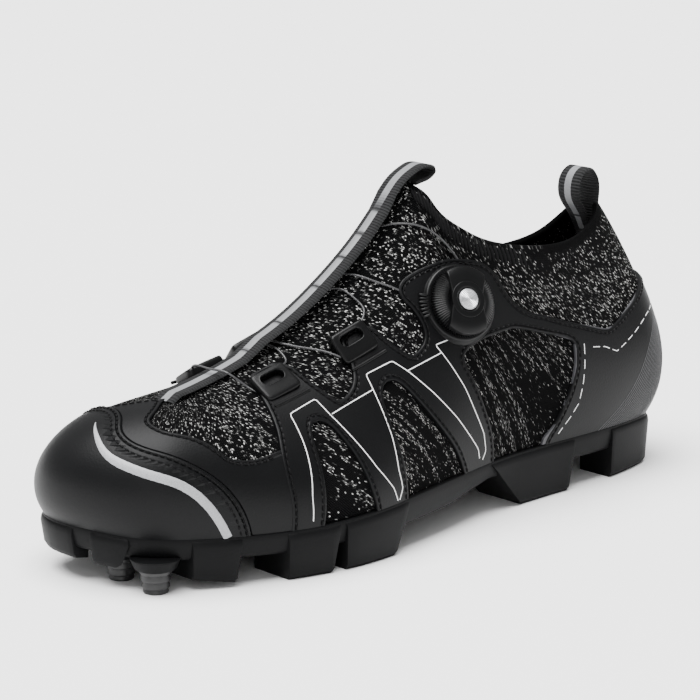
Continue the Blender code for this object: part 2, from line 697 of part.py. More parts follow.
def lug_prism(name, lug, side):
    # side-view block for one lug, clipped to the tread outline afterwards
    low = 0.0
    high = STACK_HEIGHT * LUG_ROOT
    shape = ((lug["top_front"], high), (lug["foot_front"], low), (lug["foot_rear"], low),
             (lug["top_rear"], high))
    points = [(along * SOLE_LENGTH, z) for along, z in shape]
    middle = (lug["foot_front"] + lug["foot_rear"]) / 2.0 * SOLE_LENGTH
    edge = np.interp(middle, last_column("along") * SOLE_LENGTH,
                     last_column("lateral" if side < 0 else "medial") * BALL_WIDTH)
    inner = max(edge - lug["reach"] * BALL_WIDTH, TREAD_GROOVE) * side
    outer = BALL_WIDTH * side
    vertices = [(x, inner, z) for x, z in points] + [(x, outer, z) for x, z in points]
    faces = [[0, 1, 2, 3], [7, 6, 5, 4]]
    faces += [[k, (k + 1) % 4, (k + 1) % 4 + 4, k + 4] for k in range(4)]
    cutter = mesh_object(name, vertices, faces, None, smooth=False)
    hide(cutter)
    return cutter


def make_outsole():
    u = skin_columns()

    def mid(x):
        return (sole_level("bed", x) + sole_level("band", x)) / 2.0

    plate = layered_body("outsole", u, (
        (SOLE_LIP - EDGE_ROUND, lambda x: sole_level("bed", x)),
        (SOLE_LIP, lambda x: sole_level("bed", x) - EDGE_ROUND),
        (SOLE_LIP - 0.0006, mid),
        (SOLE_LIP - 0.0012, lambda x: sole_level("band", x) + 2 * EDGE_ROUND),
        (SOLE_LIP - 0.0030, lambda x: sole_level("band", x)),
    ), "rubber")
    scraps = []
    for label, row in LUG_ROWS.items():
        lug = dict(zip(LUG_COLUMNS, row))
        for side, side_name in ((-1, "lateral"), (1, "medial")):
            tread = layered_body("tread_" + label + side_name, u, (
                (SOLE_LIP + LUG_PROUD, lambda x: sole_level("bed", x) - 5 * EDGE_ROUND),
                (SOLE_LIP + LUG_PROUD - 0.0010, lambda x: sole_level("tread", x) + 3 * EDGE_ROUND),
                (SOLE_LIP + LUG_PROUD - 0.0022, lambda x: sole_level("tread", x)),
            ), None)
            hide(tread)
            block = lug_prism("lug_" + label + side_name, lug, side)
            boolean(tread, block, "INTERSECT")
            boolean(plate, tread, "UNION")
            scraps += [block, tread]
    for side_name, (along, across) in STUDS.items():
        x = along * SOLE_LENGTH
        top = float(sole_level("band", np.array([x]))[0]) + 2 * EDGE_ROUND
        boss = turned("stud_collar_" + side_name, (
            (0.0, top), (STUD_COLLAR_RADIUS, top), (STUD_COLLAR_FOOT, STUD_LENGTH + GAP),
            (0.0, STUD_LENGTH + GAP)), None, STUD_SIDES)
        boss.location = (x, across * BALL_WIDTH, 0.0)
        hide(boss)
        boolean(plate, boss, "UNION")
        scraps.append(boss)
    x = CLEAT_PLACE * SOLE_LENGTH
    seat = float(sole_level("band", np.array([x]))[0])
    for side in (-1, 1):
        slot = rounded_slot("cleat_slot", CLEAT_SLOT_LENGTH, CLEAT_SLOT_WIDTH,
                            CLEAT_SLOT_DEPTH + CLEAT_SLOT_OVERCUT)
        slot.location = (x, side * CLEAT_SLOT_SPACING / 2.0, seat - CLEAT_SLOT_OVERCUT)
        hide(slot)
        boolean(plate, slot, "DIFFERENCE")
        scraps.append(slot)
    apply_modifiers(plate)
    for scrap in scraps:
        bpy.data.objects.remove(scrap)
    return plate


def turned(name, profile, material, sides):
    # body of revolution about Z; the profile starts and ends on the axis
    vertices = []
    faces = []
    inner = [p for p in profile if p[0] > 0.0]
    for k in range(sides):
        angle = 2.0 * math.pi * k / sides
        vertices += [(r * math.cos(angle), r * math.sin(angle), z) for r, z in inner]
    count = len(inner)
    for k in range(sides):
        a = k * count
        b = (k + 1) % sides * count
        for row in range(count - 1):
            faces.append([a + row, b + row, b + row + 1, a + row + 1])
    faces.append([k * count for k in range(sides)])
    faces.append([k * count + count - 1 for k in reversed(range(sides))])
    body = mesh_object(name, vertices, faces, material)
    return body


def rounded_slot(name, length, width, depth):
    # upright prism with round ends, foot at Z = 0
    radius = width / 2.0
    run = length / 2.0 - radius
    steps = 5
    plan = []
    for end in (1, -1):
        for k in range(steps + 1):
            angle = -math.pi / 2 + math.pi * k / steps
            plan.append((end * (run + radius * math.cos(angle)), end * radius * math.sin(angle)))
    count = len(plan)
    vertices = [(x, y, 0.0) for x, y in plan] + [(x, y, depth) for x, y in plan]
    faces = [list(range(count)), list(range(count, 2 * count))]
    for k in range(count):
        following = (k + 1) % count
        faces.append([k, following, following + count, k + count])
    return mesh_object(name, vertices, faces, None, smooth=False)


def make_studs():
    for side_name, (along, across) in STUDS.items():
        tip = STUD_TIP_RADIUS
        profile = [(0.0, 0.0), (tip - EDGE_ROUND, 0.0), (tip, EDGE_ROUND)]
        for k in range(STUD_RINGS):
            level = EDGE_ROUND + (STUD_LENGTH - EDGE_ROUND) * (k + 0.55) / STUD_RINGS
            radius = tip + (STUD_RADIUS - tip) * (k + 1) / STUD_RINGS
            profile += [(radius, level - 0.0006), (radius, level + 0.0004),
                        (radius - 0.0005, level + 0.0008)]
        profile += [(STUD_RADIUS - 0.0005, STUD_LENGTH), (0.0, STUD_LENGTH)]
        stud = turned("toe_stud_" + side_name, profile, "stud", STUD_SIDES)
        stud.location = (along * SOLE_LENGTH, across * BALL_WIDTH, 0.0)


def make_insole():
    u = skin_columns()
    inset = PANEL_THICK + KNIT_WALL + 4 * GAP
    layered_body("insole", u, (
        (-inset, lambda x: sole_level("bed", x) + GAP),
        (-inset, lambda x: sole_level("bed", x) + GAP + INSOLE_THICK / 2.0),
        (-inset - EDGE_ROUND, lambda x: sole_level("bed", x) + GAP + INSOLE_THICK),
    ), "foam")


def surface_tree(body):
    graph = bpy.context.evaluated_depsgraph_get()
    return BVHTree.FromObject(body, graph)


def side_hit(tree, place, toward):
    # point and normal of the skin seen straight from one side
    along, rise = place
    start = Vector((along * SOLE_LENGTH, toward * BALL_WIDTH, STACK_HEIGHT + rise * UPPER_HEIGHT))
    point, normal, _, _ = tree.ray_cast(start, Vector((0.0, -toward, 0.0)))
    return point, normal


def seat_frame(tree, place, toward, along_axis):
    # matrix at a place on the skin, Z out of the skin
    point, normal = side_hit(tree, place, toward)
    return facing_frame(point, normal, along_axis)


def facing_frame(point, normal, along_axis):
    # matrix at a point: Z along the normal, X as near as can be to along_axis
    z = normal.normalized()
    x = (along_axis - z * along_axis.dot(z)).normalized()
    y = z.cross(x)
    frame = Matrix((x, y, z)).transposed().to_4x4()
    frame.translation = point
    return frame


def make_guides(tree, cutter):
    places = [("lateral_" + label, place, -1.0) for label, place in LATERAL_GUIDES.items()]
    places += [("medial_" + label, place, 1.0) for label, place in MEDIAL_GUIDES.items()]
    for label, place, toward in places:
        slope = Vector((1.0, 0.0, GUIDE_SLOPE))
        frame = seat_frame(tree, place, toward, slope)
        depth = GUIDE_HEIGHT + GUIDE_FOOT
        guide = rounded_slot("lace_guide_" + label, GUIDE_LENGTH, GUIDE_WIDTH, depth)
        guide.data.materials.append(materials["plastic"])
        guide.matrix_world = frame @ Matrix.Translation((0.0, 0.0, -GUIDE_FOOT))
        slot = rounded_slot("guide_slot", GUIDE_SLOT_LENGTH, GUIDE_SLOT_WIDTH, 2 * depth)
        slot.matrix_world = frame @ Matrix.Translation((0.0, 0.0, -depth))
        bpy.context.view_layer.update()
        boolean(guide, slot, "DIFFERENCE")
        boolean(guide, cutter, "DIFFERENCE")
        apply_modifiers(guide)
        bpy.data.objects.remove(slot)


def make_dial(tree, cutter):
    point, _ = side_hit(tree, DIAL_PLACE, -1.0)
    frame = facing_frame(point, Vector(DIAL_AXIS), Vector((1.0, 0.0, DIAL_TURN)))
    seat_top = DIAL_SEAT_HEIGHT
    foot = DIAL_SEAT_RADIUS + DIAL_SEAT_SPREAD
    seat = turned("dial_seat", (
        (0.0, -DIAL_SEAT_FOOT), (foot, -DIAL_SEAT_FOOT), (foot, 0.0),
        (DIAL_SEAT_RADIUS, seat_top - EDGE_ROUND), (DIAL_SEAT_RADIUS - EDGE_ROUND, seat_top),
        (0.0, seat_top)), "plastic", DIAL_SIDES)
    seat.matrix_world = frame
    bpy.context.view_layer.update()
    boolean(seat, cutter, "DIFFERENCE")
    apply_modifiers(seat)
    base = seat_top + GAP
    knob = ribbed_knob("dial_knob", base)
    knob.matrix_world = frame
    top = base + DIAL_HEIGHT + GAP
    cap = turned("dial_cap", (
        (0.0, top), (DIAL_CAP_RADIUS, top), (DIAL_CAP_RADIUS, top + DIAL_CAP_HEIGHT / 2.0),
        (DIAL_CAP_RADIUS - EDGE_ROUND, top + DIAL_CAP_HEIGHT), (0.0, top + DIAL_CAP_HEIGHT)),
        "silver", DIAL_SIDES)
    cap.matrix_world = frame


def ribbed_knob(name, base):
    # grip ring with ribs round its side
    levels = ((1.0, base), (1.0, base + DIAL_HEIGHT * 0.75), (0.86, base + DIAL_HEIGHT))
    vertices = []
    faces = []
    sides = 2 * DIAL_RIBS
    for share, level in levels:
        for k in range(sides):
            angle = 2.0 * math.pi * k / sides
            radius = DIAL_RADIUS * share - (DIAL_RIB_DEPTH if k % 2 else 0.0)
            vertices.append((radius * math.cos(angle), radius * math.sin(angle), level))
    for layer in range(len(levels) - 1):
        for k in range(sides):
            following = (k + 1) % sides
            a = layer * sides
            faces.append([a + k, a + following, a + following + sides, a + k + sides])
    faces.append(list(range(sides)))
    faces.append(list(range((len(levels) - 1) * sides, len(levels) * sides)))
    return mesh_object(name, vertices, faces, "plastic", smooth=False)


def ridge_line(x):
    # height and slope of the instep ridge at distance x
    u = np.linspace(0.0, TONGUE_ROW, 200)
    line = top_line(u)
    z = np.interp(x, line[:, 0], line[:, 2])
    slope = np.interp(x, line[:, 0], np.gradient(line[:, 2], line[:, 0]))
    return z, slope


def ridge_normal(x):
    _, slope = ridge_line(x)
    return Vector((-slope, 0.0, 1.0)).normalized()


def on_knit(tree, x, y, lift):
    # point above the knit near the ridge, lifted square to the knit
    z, _ = ridge_line(x)
    normal = ridge_normal(x)
    start = Vector((x, y, z)) + normal * RIDGE_REACH
    point, facing, _, _ = tree.ray_cast(start, -normal)
    return point + facing * lift


def over_ridge(tree, x, y, lift):
    # point above the knit near the ridge, lifted square to the ridge and less sunk at its sides
    z, _ = ridge_line(x)
    normal = ridge_normal(x)
    start = Vector((x, y, z)) + normal * RIDGE_REACH
    point, _, _, distance = tree.ray_cast(start, -normal)
    sunk = distance - RIDGE_REACH
    return point + normal * (lift + STRIP_STIFF * sunk), normal


def ribbon(name, sections, thick, material):
    # band through cross rows; each row holds its points and the way its upper side faces
    vertices = []
    faces = []
    across = len(sections[0][0])
    for points, normal in sections:
        vertices += [tuple(p) for p in points]
        vertices += [tuple(p + normal * thick) for p in points]
    ring = list(range(across)) + list(range(2 * across - 1, across - 1, -1))
    for k in range(len(sections) - 1):
        a = k * 2 * across
        b = a + 2 * across
        for m in range(len(ring)):
            following = (m + 1) % len(ring)
            faces.append([a + ring[m], a + ring[following], b + ring[following], b + ring[m]])
    faces.append(ring[::-1])
    faces.append([(len(sections) - 1) * 2 * across + m for m in ring])
    return mesh_object(name, vertices, faces, material)


def smooth_path(points, count):
    # even stations on a curve through side-view shares
    shares = np.array(points, dtype=float)
    plan = np.column_stack([shares[:, 0] * SOLE_LENGTH, STACK_HEIGHT + shares[:, 1] * UPPER_HEIGHT])
    run = np.concatenate([[0.0], np.cumsum(np.linalg.norm(np.diff(plan, axis=0), axis=1))])
    at = np.linspace(0.0, run[-1], count)
    return np.column_stack([natural_spline(run, plan[:, 0], at),
                            natural_spline(run, plan[:, 1], at)])


def path_sections(path, width, across, side):
    # cross rows square to a side-view path
    tangent = np.gradient(path, axis=0)
    tangent /= np.linalg.norm(tangent, axis=1)[:, None]
    ys = np.linspace(-width / 2.0, width / 2.0, across)
    sections = []
    for (x, z), (tx, tz) in zip(path, tangent):
        normal = Vector((-tz * side, 0.0, tx * side))
        sections.append(([Vector((x, y, z)) for y in ys], normal))
    return sections


def make_front_strip(tree):
    # webbing over the instep, lifted where the cable passes under it, then a pull loop
    across = 5
    ys = np.linspace(-FRONT_WEB_WIDTH / 2.0, FRONT_WEB_WIDTH / 2.0, across)
    sections = []
    high = CABLE_LIFT + CABLE_RADIUS + 2.0 * GAP
    for along in np.linspace(STRIP_FRONT, STRIP_LEAVE, STRIP_STEPS):
        lift = np.interp(along, STRIP_RISE, (1.5 * GAP, high))
        points = []
        for y in ys:
            point, normal = over_ridge(tree, along * SOLE_LENGTH, y, lift)
            points.append(point)
        sections.append((points, normal))
    loop = smooth_path(STRIP_LOOP, LOOP_STEPS)
    sections += path_sections(loop, FRONT_WEB_WIDTH, across, 1.0)
    ribbon("front_pull_strip", sections, WEB_THICK, "webbing")


def make_heel_loop():
    path = smooth_path(HEEL_LOOP, HEEL_STEPS)
    ribbon("heel_pull_loop", path_sections(path, HEEL_WEB_WIDTH, 2, -1.0), WEB_THICK, "webbing")


def tube(name, points, radius, material):
    curve = bpy.data.curves.new(name, "CURVE")
    curve.dimensions = "3D"
    line = curve.splines.new("POLY")
    line.points.add(len(points) - 1)
    for spot, point in zip(line.points, points):
        spot.co = (*point, 1.0)
    curve.bevel_depth = radius
    curve.bevel_resolution = 2
    curve.use_fill_caps = True
    body = bpy.data.objects.new(name, curve)
    bpy.context.collection.objects.link(body)
    curve.materials.append(materials[material])
    return body


def eased(points, count):
    # even stations on a cubic through points in space
    spots = np.array([tuple(point) for point in points])
    run = np.concatenate([[0.0], np.cumsum(np.linalg.norm(np.diff(spots, axis=0), axis=1))])
    at = np.linspace(0.0, run[-1], count)
    return np.column_stack([natural_spline(run, spots[:, axis], at) for axis in range(3)])


def make_cable(tree):
    # crossings under the strip, from guide to guide
    edge = (FRONT_WEB_WIDTH / 2.0) / BALL_WIDTH
    for label, row in CABLE_ROWS.items():
        cable = dict(zip(CABLE_COLUMNS, row))
        knots = np.array([-cable["out"], -edge, edge, cable["reach"]])
        along = np.array([cable["lateral_end"], cable["lateral_edge"], cable["medial_edge"],
                          cable["medial_end"]])
        across = np.concatenate([np.linspace(knots[0], 0.0, CABLE_STEPS // 2 + 1)[:-1],
                                 np.linspace(0.0, knots[-1], CABLE_STEPS // 2 + 1)])
        points = []
        for y, x in zip(across, natural_spline(knots, along, across)):
            lift = np.interp(abs(y), CABLE_RISE, (CABLE_LIFT, CABLE_END_LIFT))
            points.append(on_knit(tree, x * SOLE_LENGTH, y * BALL_WIDTH, lift))
        tube("lace_crossing_" + label, points, CABLE_RADIUS, "cable")
    # the foremost crossing runs over the strip
    points = []
    for x, y in TOE_CABLE:
        if abs(y) < CABLE_RISE[1]:
            points.append(over_ridge(tree, x * SOLE_LENGTH, y * BALL_WIDTH, OVER_STRIP)[0])
        else:
            points.append(on_knit(tree, x * SOLE_LENGTH, y * BALL_WIDTH, CABLE_END_LIFT))
    tube("lace_crossing_toe", eased(points, LONG_CABLE_STEPS), CABLE_RADIUS, "cable")
    # the rearmost one climbs from the dial over the side of the tongue
    points = []
    for place in DIAL_CABLE_SIDE:
        point, normal = side_hit(tree, place, -1.0)
        points.append(point + normal * CABLE_LIFT)
    for x, y in DIAL_CABLE_TOP:
        points.append(on_knit(tree, x * SOLE_LENGTH, y * BALL_WIDTH, CABLE_LIFT + 2.0 * GAP))
    tube("lace_crossing_dial", eased(points, LONG_CABLE_STEPS), CABLE_RADIUS, "cable")


def move_to_frame():
    shift = Matrix.Translation((-MIDDLE_ALONG * SOLE_LENGTH, -MIDDLE_ACROSS * BALL_WIDTH, 0.0))
    for body in bpy.data.objects:
        body.matrix_world = shift @ body.matrix_world


for leftover in list(bpy.data.objects):
    bpy.data.objects.remove(leftover)
materials = {name: make_material(name, values) for name, values in COLOURS.items()}

skin_grid = SkinGrid()
upper = make_upper(skin_grid)
make_panels(skin_grid)
make_outsole()
make_studs()
make_insole()
seat_cutter = skin_body(skin_grid, 2.0 * GAP)
skin_tree = surface_tree(seat_cutter)
make_guides(skin_tree, seat_cutter)
make_dial(skin_tree, seat_cutter)
knit_tree = surface_tree(upper)
make_front_strip(knit_tree)
make_heel_loop()
make_cable(knit_tree)
bpy.data.objects.remove(seat_cutter)
move_to_frame()
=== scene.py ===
# Left cycling shoe: finishes and fine shapes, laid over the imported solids.
import math
import bpy
import bmesh
import numpy as np
from mathutils import Matrix, Vector
from mathutils.bvhtree import BVHTree


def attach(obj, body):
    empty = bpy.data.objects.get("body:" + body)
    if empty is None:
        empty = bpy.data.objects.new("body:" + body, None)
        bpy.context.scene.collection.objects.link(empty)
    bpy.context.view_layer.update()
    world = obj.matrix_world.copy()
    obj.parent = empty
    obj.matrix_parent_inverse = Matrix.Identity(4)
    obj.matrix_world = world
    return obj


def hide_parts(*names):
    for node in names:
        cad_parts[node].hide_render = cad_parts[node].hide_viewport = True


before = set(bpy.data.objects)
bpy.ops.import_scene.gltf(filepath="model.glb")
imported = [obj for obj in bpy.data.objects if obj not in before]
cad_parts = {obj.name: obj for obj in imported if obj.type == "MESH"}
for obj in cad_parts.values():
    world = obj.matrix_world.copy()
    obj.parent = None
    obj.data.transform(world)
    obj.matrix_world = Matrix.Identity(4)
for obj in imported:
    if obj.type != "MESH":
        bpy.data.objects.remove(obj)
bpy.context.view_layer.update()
print("frame loaded")

mm = 0.001

# sizes of the last in metres; rows below hold shares of them
shoe = {"soleLength": 0.2815, "ballWidth": 0.0955, "upperHeight": 0.1060, "stackHeight": 0.0200,
        "middleAlong": 0.5062, "middleAcross": -0.029, "tongueRow": 9, "columnsPerRow": 8, "levels": 74}
toFrame = np.array([-shoe["middleAlong"] * shoe["soleLength"],
                    -shoe["middleAcross"] * shoe["ballWidth"], 0.0])
rowNames = ("along", "lateral", "medial", "topAlong", "topHalf", "topRise", "medialDrop",
            "flare", "lift", "pullAlong", "pullOut", "pullUp")
lastRows = (
    (0.000, -0.126, 0.126, 0.146, 0.000, 0.396, 0.000, 0.126, 0.179, -0.124, 0.000, 0.000),
    (0.028, 0.168, 0.325, 0.147, 0.000, 0.397, 0.000, 0.115, 0.179, -0.089, 0.251, 0.000),
    (0.089, 0.335, 0.408, 0.156, 0.000, 0.402, 0.000, 0.084, 0.198, -0.043, 0.314, 0.000),
    (0.199, 0.466, 0.455, 0.192, 0.000, 0.422, 0.000, 0.052, 0.226, -0.014, 0.293, -0.009),
    (0.313, 0.529, 0.471, 0.252, 0.000, 0.467, 0.000, 0.021, 0.236, 0.000, 0.251, -0.028),
    (0.409, 0.503, 0.436, 0.334, 0.000, 0.552, 0.000, 0.010, 0.274, 0.000, 0.220, -0.047),
    (0.480, 0.461, 0.393, 0.409, 0.000, 0.670, 0.000, 0.010, 0.311, 0.000, 0.204, -0.066),
    (0.533, 0.427, 0.364, 0.476, 0.000, 0.806, 0.000, 0.021, 0.330, -0.005, 0.188, -0.075),
    (0.568, 0.405, 0.340, 0.522, 0.000, 0.928, 0.000, 0.031, 0.330, -0.010, 0.173, -0.080),
    (0.597, 0.388, 0.325, 0.551, 0.000, 1.009, 0.000, 0.042, 0.330, -0.012, 0.147, -0.094),
    (0.625, 0.375, 0.314, 0.561, 0.100, 0.975, -0.009, 0.047, 0.326, -0.009, 0.052, -0.132),
    (0.657, 0.365, 0.310, 0.577, 0.160, 0.901, -0.019, 0.047, 0.321, -0.008, 0.038, -0.151),
    (0.693, 0.358, 0.309, 0.608, 0.198, 0.838, -0.038, 0.052, 0.311, -0.005, 0.047, -0.179),
    (0.746, 0.350, 0.309, 0.656, 0.220, 0.778, -0.057, 0.073, 0.292, 0.000, 0.060, -0.208),
    (0.810, 0.345, 0.313, 0.732, 0.230, 0.736, -0.075, 0.094, 0.292, 0.004, 0.071, -0.236),
    (0.877, 0.325, 0.306, 0.810, 0.199, 0.722, -0.057, 0.127, 0.283, 0.014, 0.073, -0.245),
    (0.932, 0.288, 0.272, 0.868, 0.150, 0.745, -0.038, 0.158, 0.264, 0.036, 0.084, -0.250),
    (0.972, 0.215, 0.200, 0.911, 0.095, 0.796, 0.000, 0.184, 0.250, 0.060, 0.063, -0.245),
    (0.992, 0.000, 0.000, 0.931, 0.000, 0.852, 0.000, 0.191, 0.245, 0.075, 0.000, -0.245),
)
last = {name: np.array([row[k] for row in lastRows]) for k, name in enumerate(rowNames)}
heelAt = len(lastRows) - 1
loopSpan = 2 * heelAt

# sole lines along the foot: foot bed, lower edge of the band, tread, as shares of stackHeight
soleNames = ("along", "bed", "band", "tread")
soleRows = (
    (0.00, 1.075, 0.650, 0.460), (0.03, 1.025, 0.610, 0.390), (0.09, 0.975, 0.560, 0.210),
    (0.15, 0.940, 0.520, 0.065), (0.19, 0.925, 0.500, 0.000), (0.31, 0.950, 0.500, 0.000),
    (0.41, 1.005, 0.490, 0.000), (0.51, 1.045, 0.525, 0.000), (0.60, 1.070, 0.720, 0.000),
    (0.70, 1.080, 0.650, 0.000), (0.78, 1.080, 0.600, 0.000), (0.90, 1.065, 0.590, 0.000),
    (0.97, 1.035, 0.580, 0.000), (1.00, 1.025, 0.575, 0.075),
)


def naturalSpline(knots, values, at):
    # cubic through the knots, straight at both ends
    size = len(knots)
    step = np.diff(knots)
    slope = np.diff(values) / step
    matrix = np.eye(size)
    bend = np.zeros(size)
    for row in range(1, size - 1):
        matrix[row, row - 1:row + 2] = step[row - 1], 2.0 * (step[row - 1] + step[row]), step[row]
        bend[row] = 6.0 * (slope[row] - slope[row - 1])
    curve = np.linalg.solve(matrix, bend)
    cell = np.clip(np.searchsorted(knots, at) - 1, 0, size - 2)
    t = at - knots[cell]
    h = step[cell]
    linear = slope[cell] - h * (2.0 * curve[cell] + curve[cell + 1]) / 6.0
    cubic = (curve[cell + 1] - curve[cell]) / (6.0 * h)
    return values[cell] + t * (linear + t * (curve[cell] / 2.0 + t * cubic))


def runAlong(points):
    # distance from the first point to each point of a line
    return np.concatenate([[0.0], np.cumsum(np.linalg.norm(np.diff(points, axis=0), axis=1))])


def awayFrom(start, run, spots):
    # vectors to the spots from the nearest points of one straight run
    share = np.clip(((spots - start) @ run) / max(run @ run, 1e-12), 0.0, 1.0)
    return spots - start - share[:, None] * run


def ringFaces(low, high, count):
    # band of quads between two rings of corners, given by their first indices
    return [(low + k, low + (k + 1) % count, high + (k + 1) % count, high + k) for k in range(count)]


def loopCap(base, count):
    # cap over a ring that runs round the foot line: lateral corners joined to medial ones
    return [(base + k, base + k + 1, base + count - k - 1, base + (count - k) % count)
            for k in range(count // 2)]


def loopSpline(values, at):
    pad = 4
    span = len(values) - 1
    knots = np.arange(-pad, span + pad + 1, dtype=float)
    padded = np.concatenate([values[-pad - 1:-1], values, values[1:pad + 1]])
    return naturalSpline(knots, padded, np.mod(at, span))


def around(lateral, medial):
    return np.concatenate([lateral, medial[::-1][1:]])


def both(name):
    return around(last[name], last[name])


def soleLevel(name, x):
    # height of a sole line at distance x behind the toe tip
    along = np.array([row[0] for row in soleRows]) * shoe["soleLength"]
    level = np.array([row[soleNames.index(name)] for row in soleRows]) * shoe["stackHeight"]
    inside = np.clip(x, along[0], along[-1])
    return naturalSpline(along, level, inside) if name == "bed" else np.interp(inside, along, level)


def footLine(u):
    x = loopSpline(both("along") * shoe["soleLength"], u)
    y = loopSpline(around(-last["lateral"], last["medial"]) * shoe["ballWidth"], u)
    return np.stack([x, y], axis=-1)


def outward(u):
    run = footLine(u + mm) - footLine(u - mm)
    run /= np.linalg.norm(run, axis=1)[:, None]
    return np.stack([run[:, 1], -run[:, 0]], axis=-1)


def topLine(u):
    # instep ridge up to the tongue top, then the collar rim round the ankle
    tongue = shoe["tongueRow"]
    side = np.where(u > heelAt, loopSpan - u, u)
    ridge = np.arange(tongue + 1, dtype=float)
    along = last["topAlong"] * shoe["soleLength"]
    rise = last["topRise"] * shoe["upperHeight"]
    drop = last["medialDrop"] * shoe["upperHeight"]
    half = last["topHalf"] * shoe["ballWidth"]
    x = naturalSpline(ridge, along[:tongue + 1], side)
    z = naturalSpline(ridge, rise[:tongue + 1], side)
    y = np.zeros(len(u))
    rim = (u >= tongue) & (u <= loopSpan - tongue)
    at = u[rim] - tongue
    x[rim] = loopSpline(around(along[tongue:], along[tongue:]), at)
    y[rim] = loopSpline(around(-half[tongue:], half[tongue:]), at)
    z[rim] = loopSpline(around(rise[tongue:], (rise + drop)[tongue:]), at)
    return np.stack([x, y, z + shoe["stackHeight"]], axis=-1)


def profiles(u):
    # four control points of each side profile, foot line to top line, in the frame
    foot = footLine(u)
    start = np.column_stack([foot, soleLevel("bed", foot[:, 0])])
    flare = loopSpline(both("flare"), u) * shoe["ballWidth"]
    lift = loopSpline(both("lift"), u) * shoe["upperHeight"]
    low = start + np.column_stack([outward(u) * flare[:, None], lift])
    end = topLine(u)
    pull = np.column_stack([loopSpline(both("pullAlong"), u) * shoe["soleLength"],
                            loopSpline(around(-last["pullOut"], last["pullOut"]), u) * shoe["ballWidth"],
                            loopSpline(both("pullUp"), u) * shoe["upperHeight"]])
    return [point + toFrame for point in (start, low, end + pull, end)]


def skinAt(u, h):
    # skin point for each pair of loop position and height share
    a, b, c, d = profiles(np.asarray(u, dtype=float))
    h = np.asarray(h, dtype=float)[:, None]
    k = 1.0 - h
    return k ** 3 * a + 3 * k * k * h * b + 3 * k * h * h * c + h ** 3 * d


class Sheet:
    # fine grid of the skin: points, normals, knit lengths in mm round the shoe and down from the top
    def __init__(self):
        self.u = np.arange(loopSpan * shoe["columnsPerRow"]) / shoe["columnsPerRow"]
        self.h = np.linspace(0.0, 1.0, shoe["levels"])
        self.columns, self.rows = len(self.u), len(self.h)
        self.points = np.stack([skinAt(self.u, np.full(self.columns, h)) for h in self.h], axis=1)
        self.normals = self.findNormals()
        middle = self.points[:, self.rows // 2]
        step = np.linalg.norm(np.roll(middle, -1, axis=0) - middle, axis=1)
        self.wale = np.concatenate([[0.0], np.cumsum(step)]) / mm
        climb = np.linalg.norm(np.diff(self.points, axis=1), axis=2)
        down = np.cumsum(climb[:, ::-1], axis=1)[:, ::-1]
        self.course = np.concatenate([down, np.zeros((self.columns, 1))], axis=1) / mm
        # wales lean towards the heel on the way down, less so at the toe
        lean = np.clip((np.minimum(self.u, loopSpan - self.u) - 2.0) / 2.5, 0.0, 1.0)
        self.lean = lean * np.where(self.u > heelAt, -1.0, 1.0)

    def findNormals(self):
        across = np.roll(self.points, -1, axis=0) - np.roll(self.points, 1, axis=0)
        up = np.gradient(self.points, axis=1)
        normals = np.cross(across, up)
        length = np.linalg.norm(normals, axis=2)[:, :, None]
        normals /= np.maximum(length, 1e-12)
        normals[length[:, -1, 0] < 1e-12, -1] = (normals[1, -2] + normals[-1, -2]) / 2.0
        if normals[self.columns // 4, self.rows // 2, 1] > 0.0:
            normals = -normals
        tongue = shoe["tongueRow"]
        ridge = (self.u < tongue) | (self.u > loopSpan - tongue)
        normals[ridge, -1, 1] = 0.0
        return normals / np.linalg.norm(normals, axis=2)[:, :, None]

    def moved(self, offset):
        return self.points + self.normals * offset

    def stretch(self, fromU, toU):
        # corners of a run of columns, the medial side of the toe counted below zero:
        # point, normal, wale, course, loop position, height share
        per = shoe["columnsPerRow"]
        column = np.arange(int(math.floor(fromU * per)), int(math.ceil(toU * per)) + 1)
        k, wrap = column % self.columns, column // self.columns
        shape = (len(column), self.rows, 1)
        wale = (self.wale[k] + wrap * self.wale[-1])[:, None, None]
        u = (self.u[k] + wrap * loopSpan)[:, None, None]
        return np.concatenate([self.points[k], self.normals[k], np.broadcast_to(wale, shape),
                               self.course[k][:, :, None], np.broadcast_to(u, shape),
                               np.broadcast_to(self.h[None, :, None], shape)], axis=2)


sheet = Sheet()
print("skin ready", sheet.columns, sheet.rows)


class Value:
    # a shader value that takes arithmetic
    def __init__(self, finish, socket):
        self.finish, self.socket = finish, socket

    def math(self, operation, *others):
        values = {k + 1: other for k, other in enumerate(others)}
        return self.finish.node("ShaderNodeMath", {"operation": operation}, {0: self, **values}).first

    def __add__(self, other): return self.math("ADD", other)
    def __radd__(self, other): return self.math("ADD", other)
    def __sub__(self, other): return self.math("SUBTRACT", other)
    def __rsub__(self, other): return (self * -1.0) + other
    def __mul__(self, other): return self.math("MULTIPLY", other)
    def __rmul__(self, other): return self.math("MULTIPLY", other)
    def __truediv__(self, other): return self.math("DIVIDE", other)
    def __pow__(self, other): return self.math("POWER", other)
    def __lt__(self, other): return self.math("LESS_THAN", other)
    def __gt__(self, other): return self.math("GREATER_THAN", other)
    def floor(self): return self.math("FLOOR")
    def abs(self): return self.math("ABSOLUTE")
    def sine(self): return self.math("SINE")
    def over(self, other): return self.math("MAXIMUM", other)

    def step(self, low, high):
        # smooth rise from 0 at low to 1 at high
        return self.finish.node("ShaderNodeMapRange", {"interpolation_type": "SMOOTHSTEP"},
                                {0: self, 1: low, 2: high, 3: 0.0, 4: 1.0}).first


class Made:
    # a node whose first output is at hand as a value
    def __init__(self, finish, node):
        self.finish, self.raw = finish, node

    @property
    def first(self):
        return Value(self.finish, self.raw.outputs[0])

    def out(self, name):
        return Value(self.finish, self.raw.outputs[name])


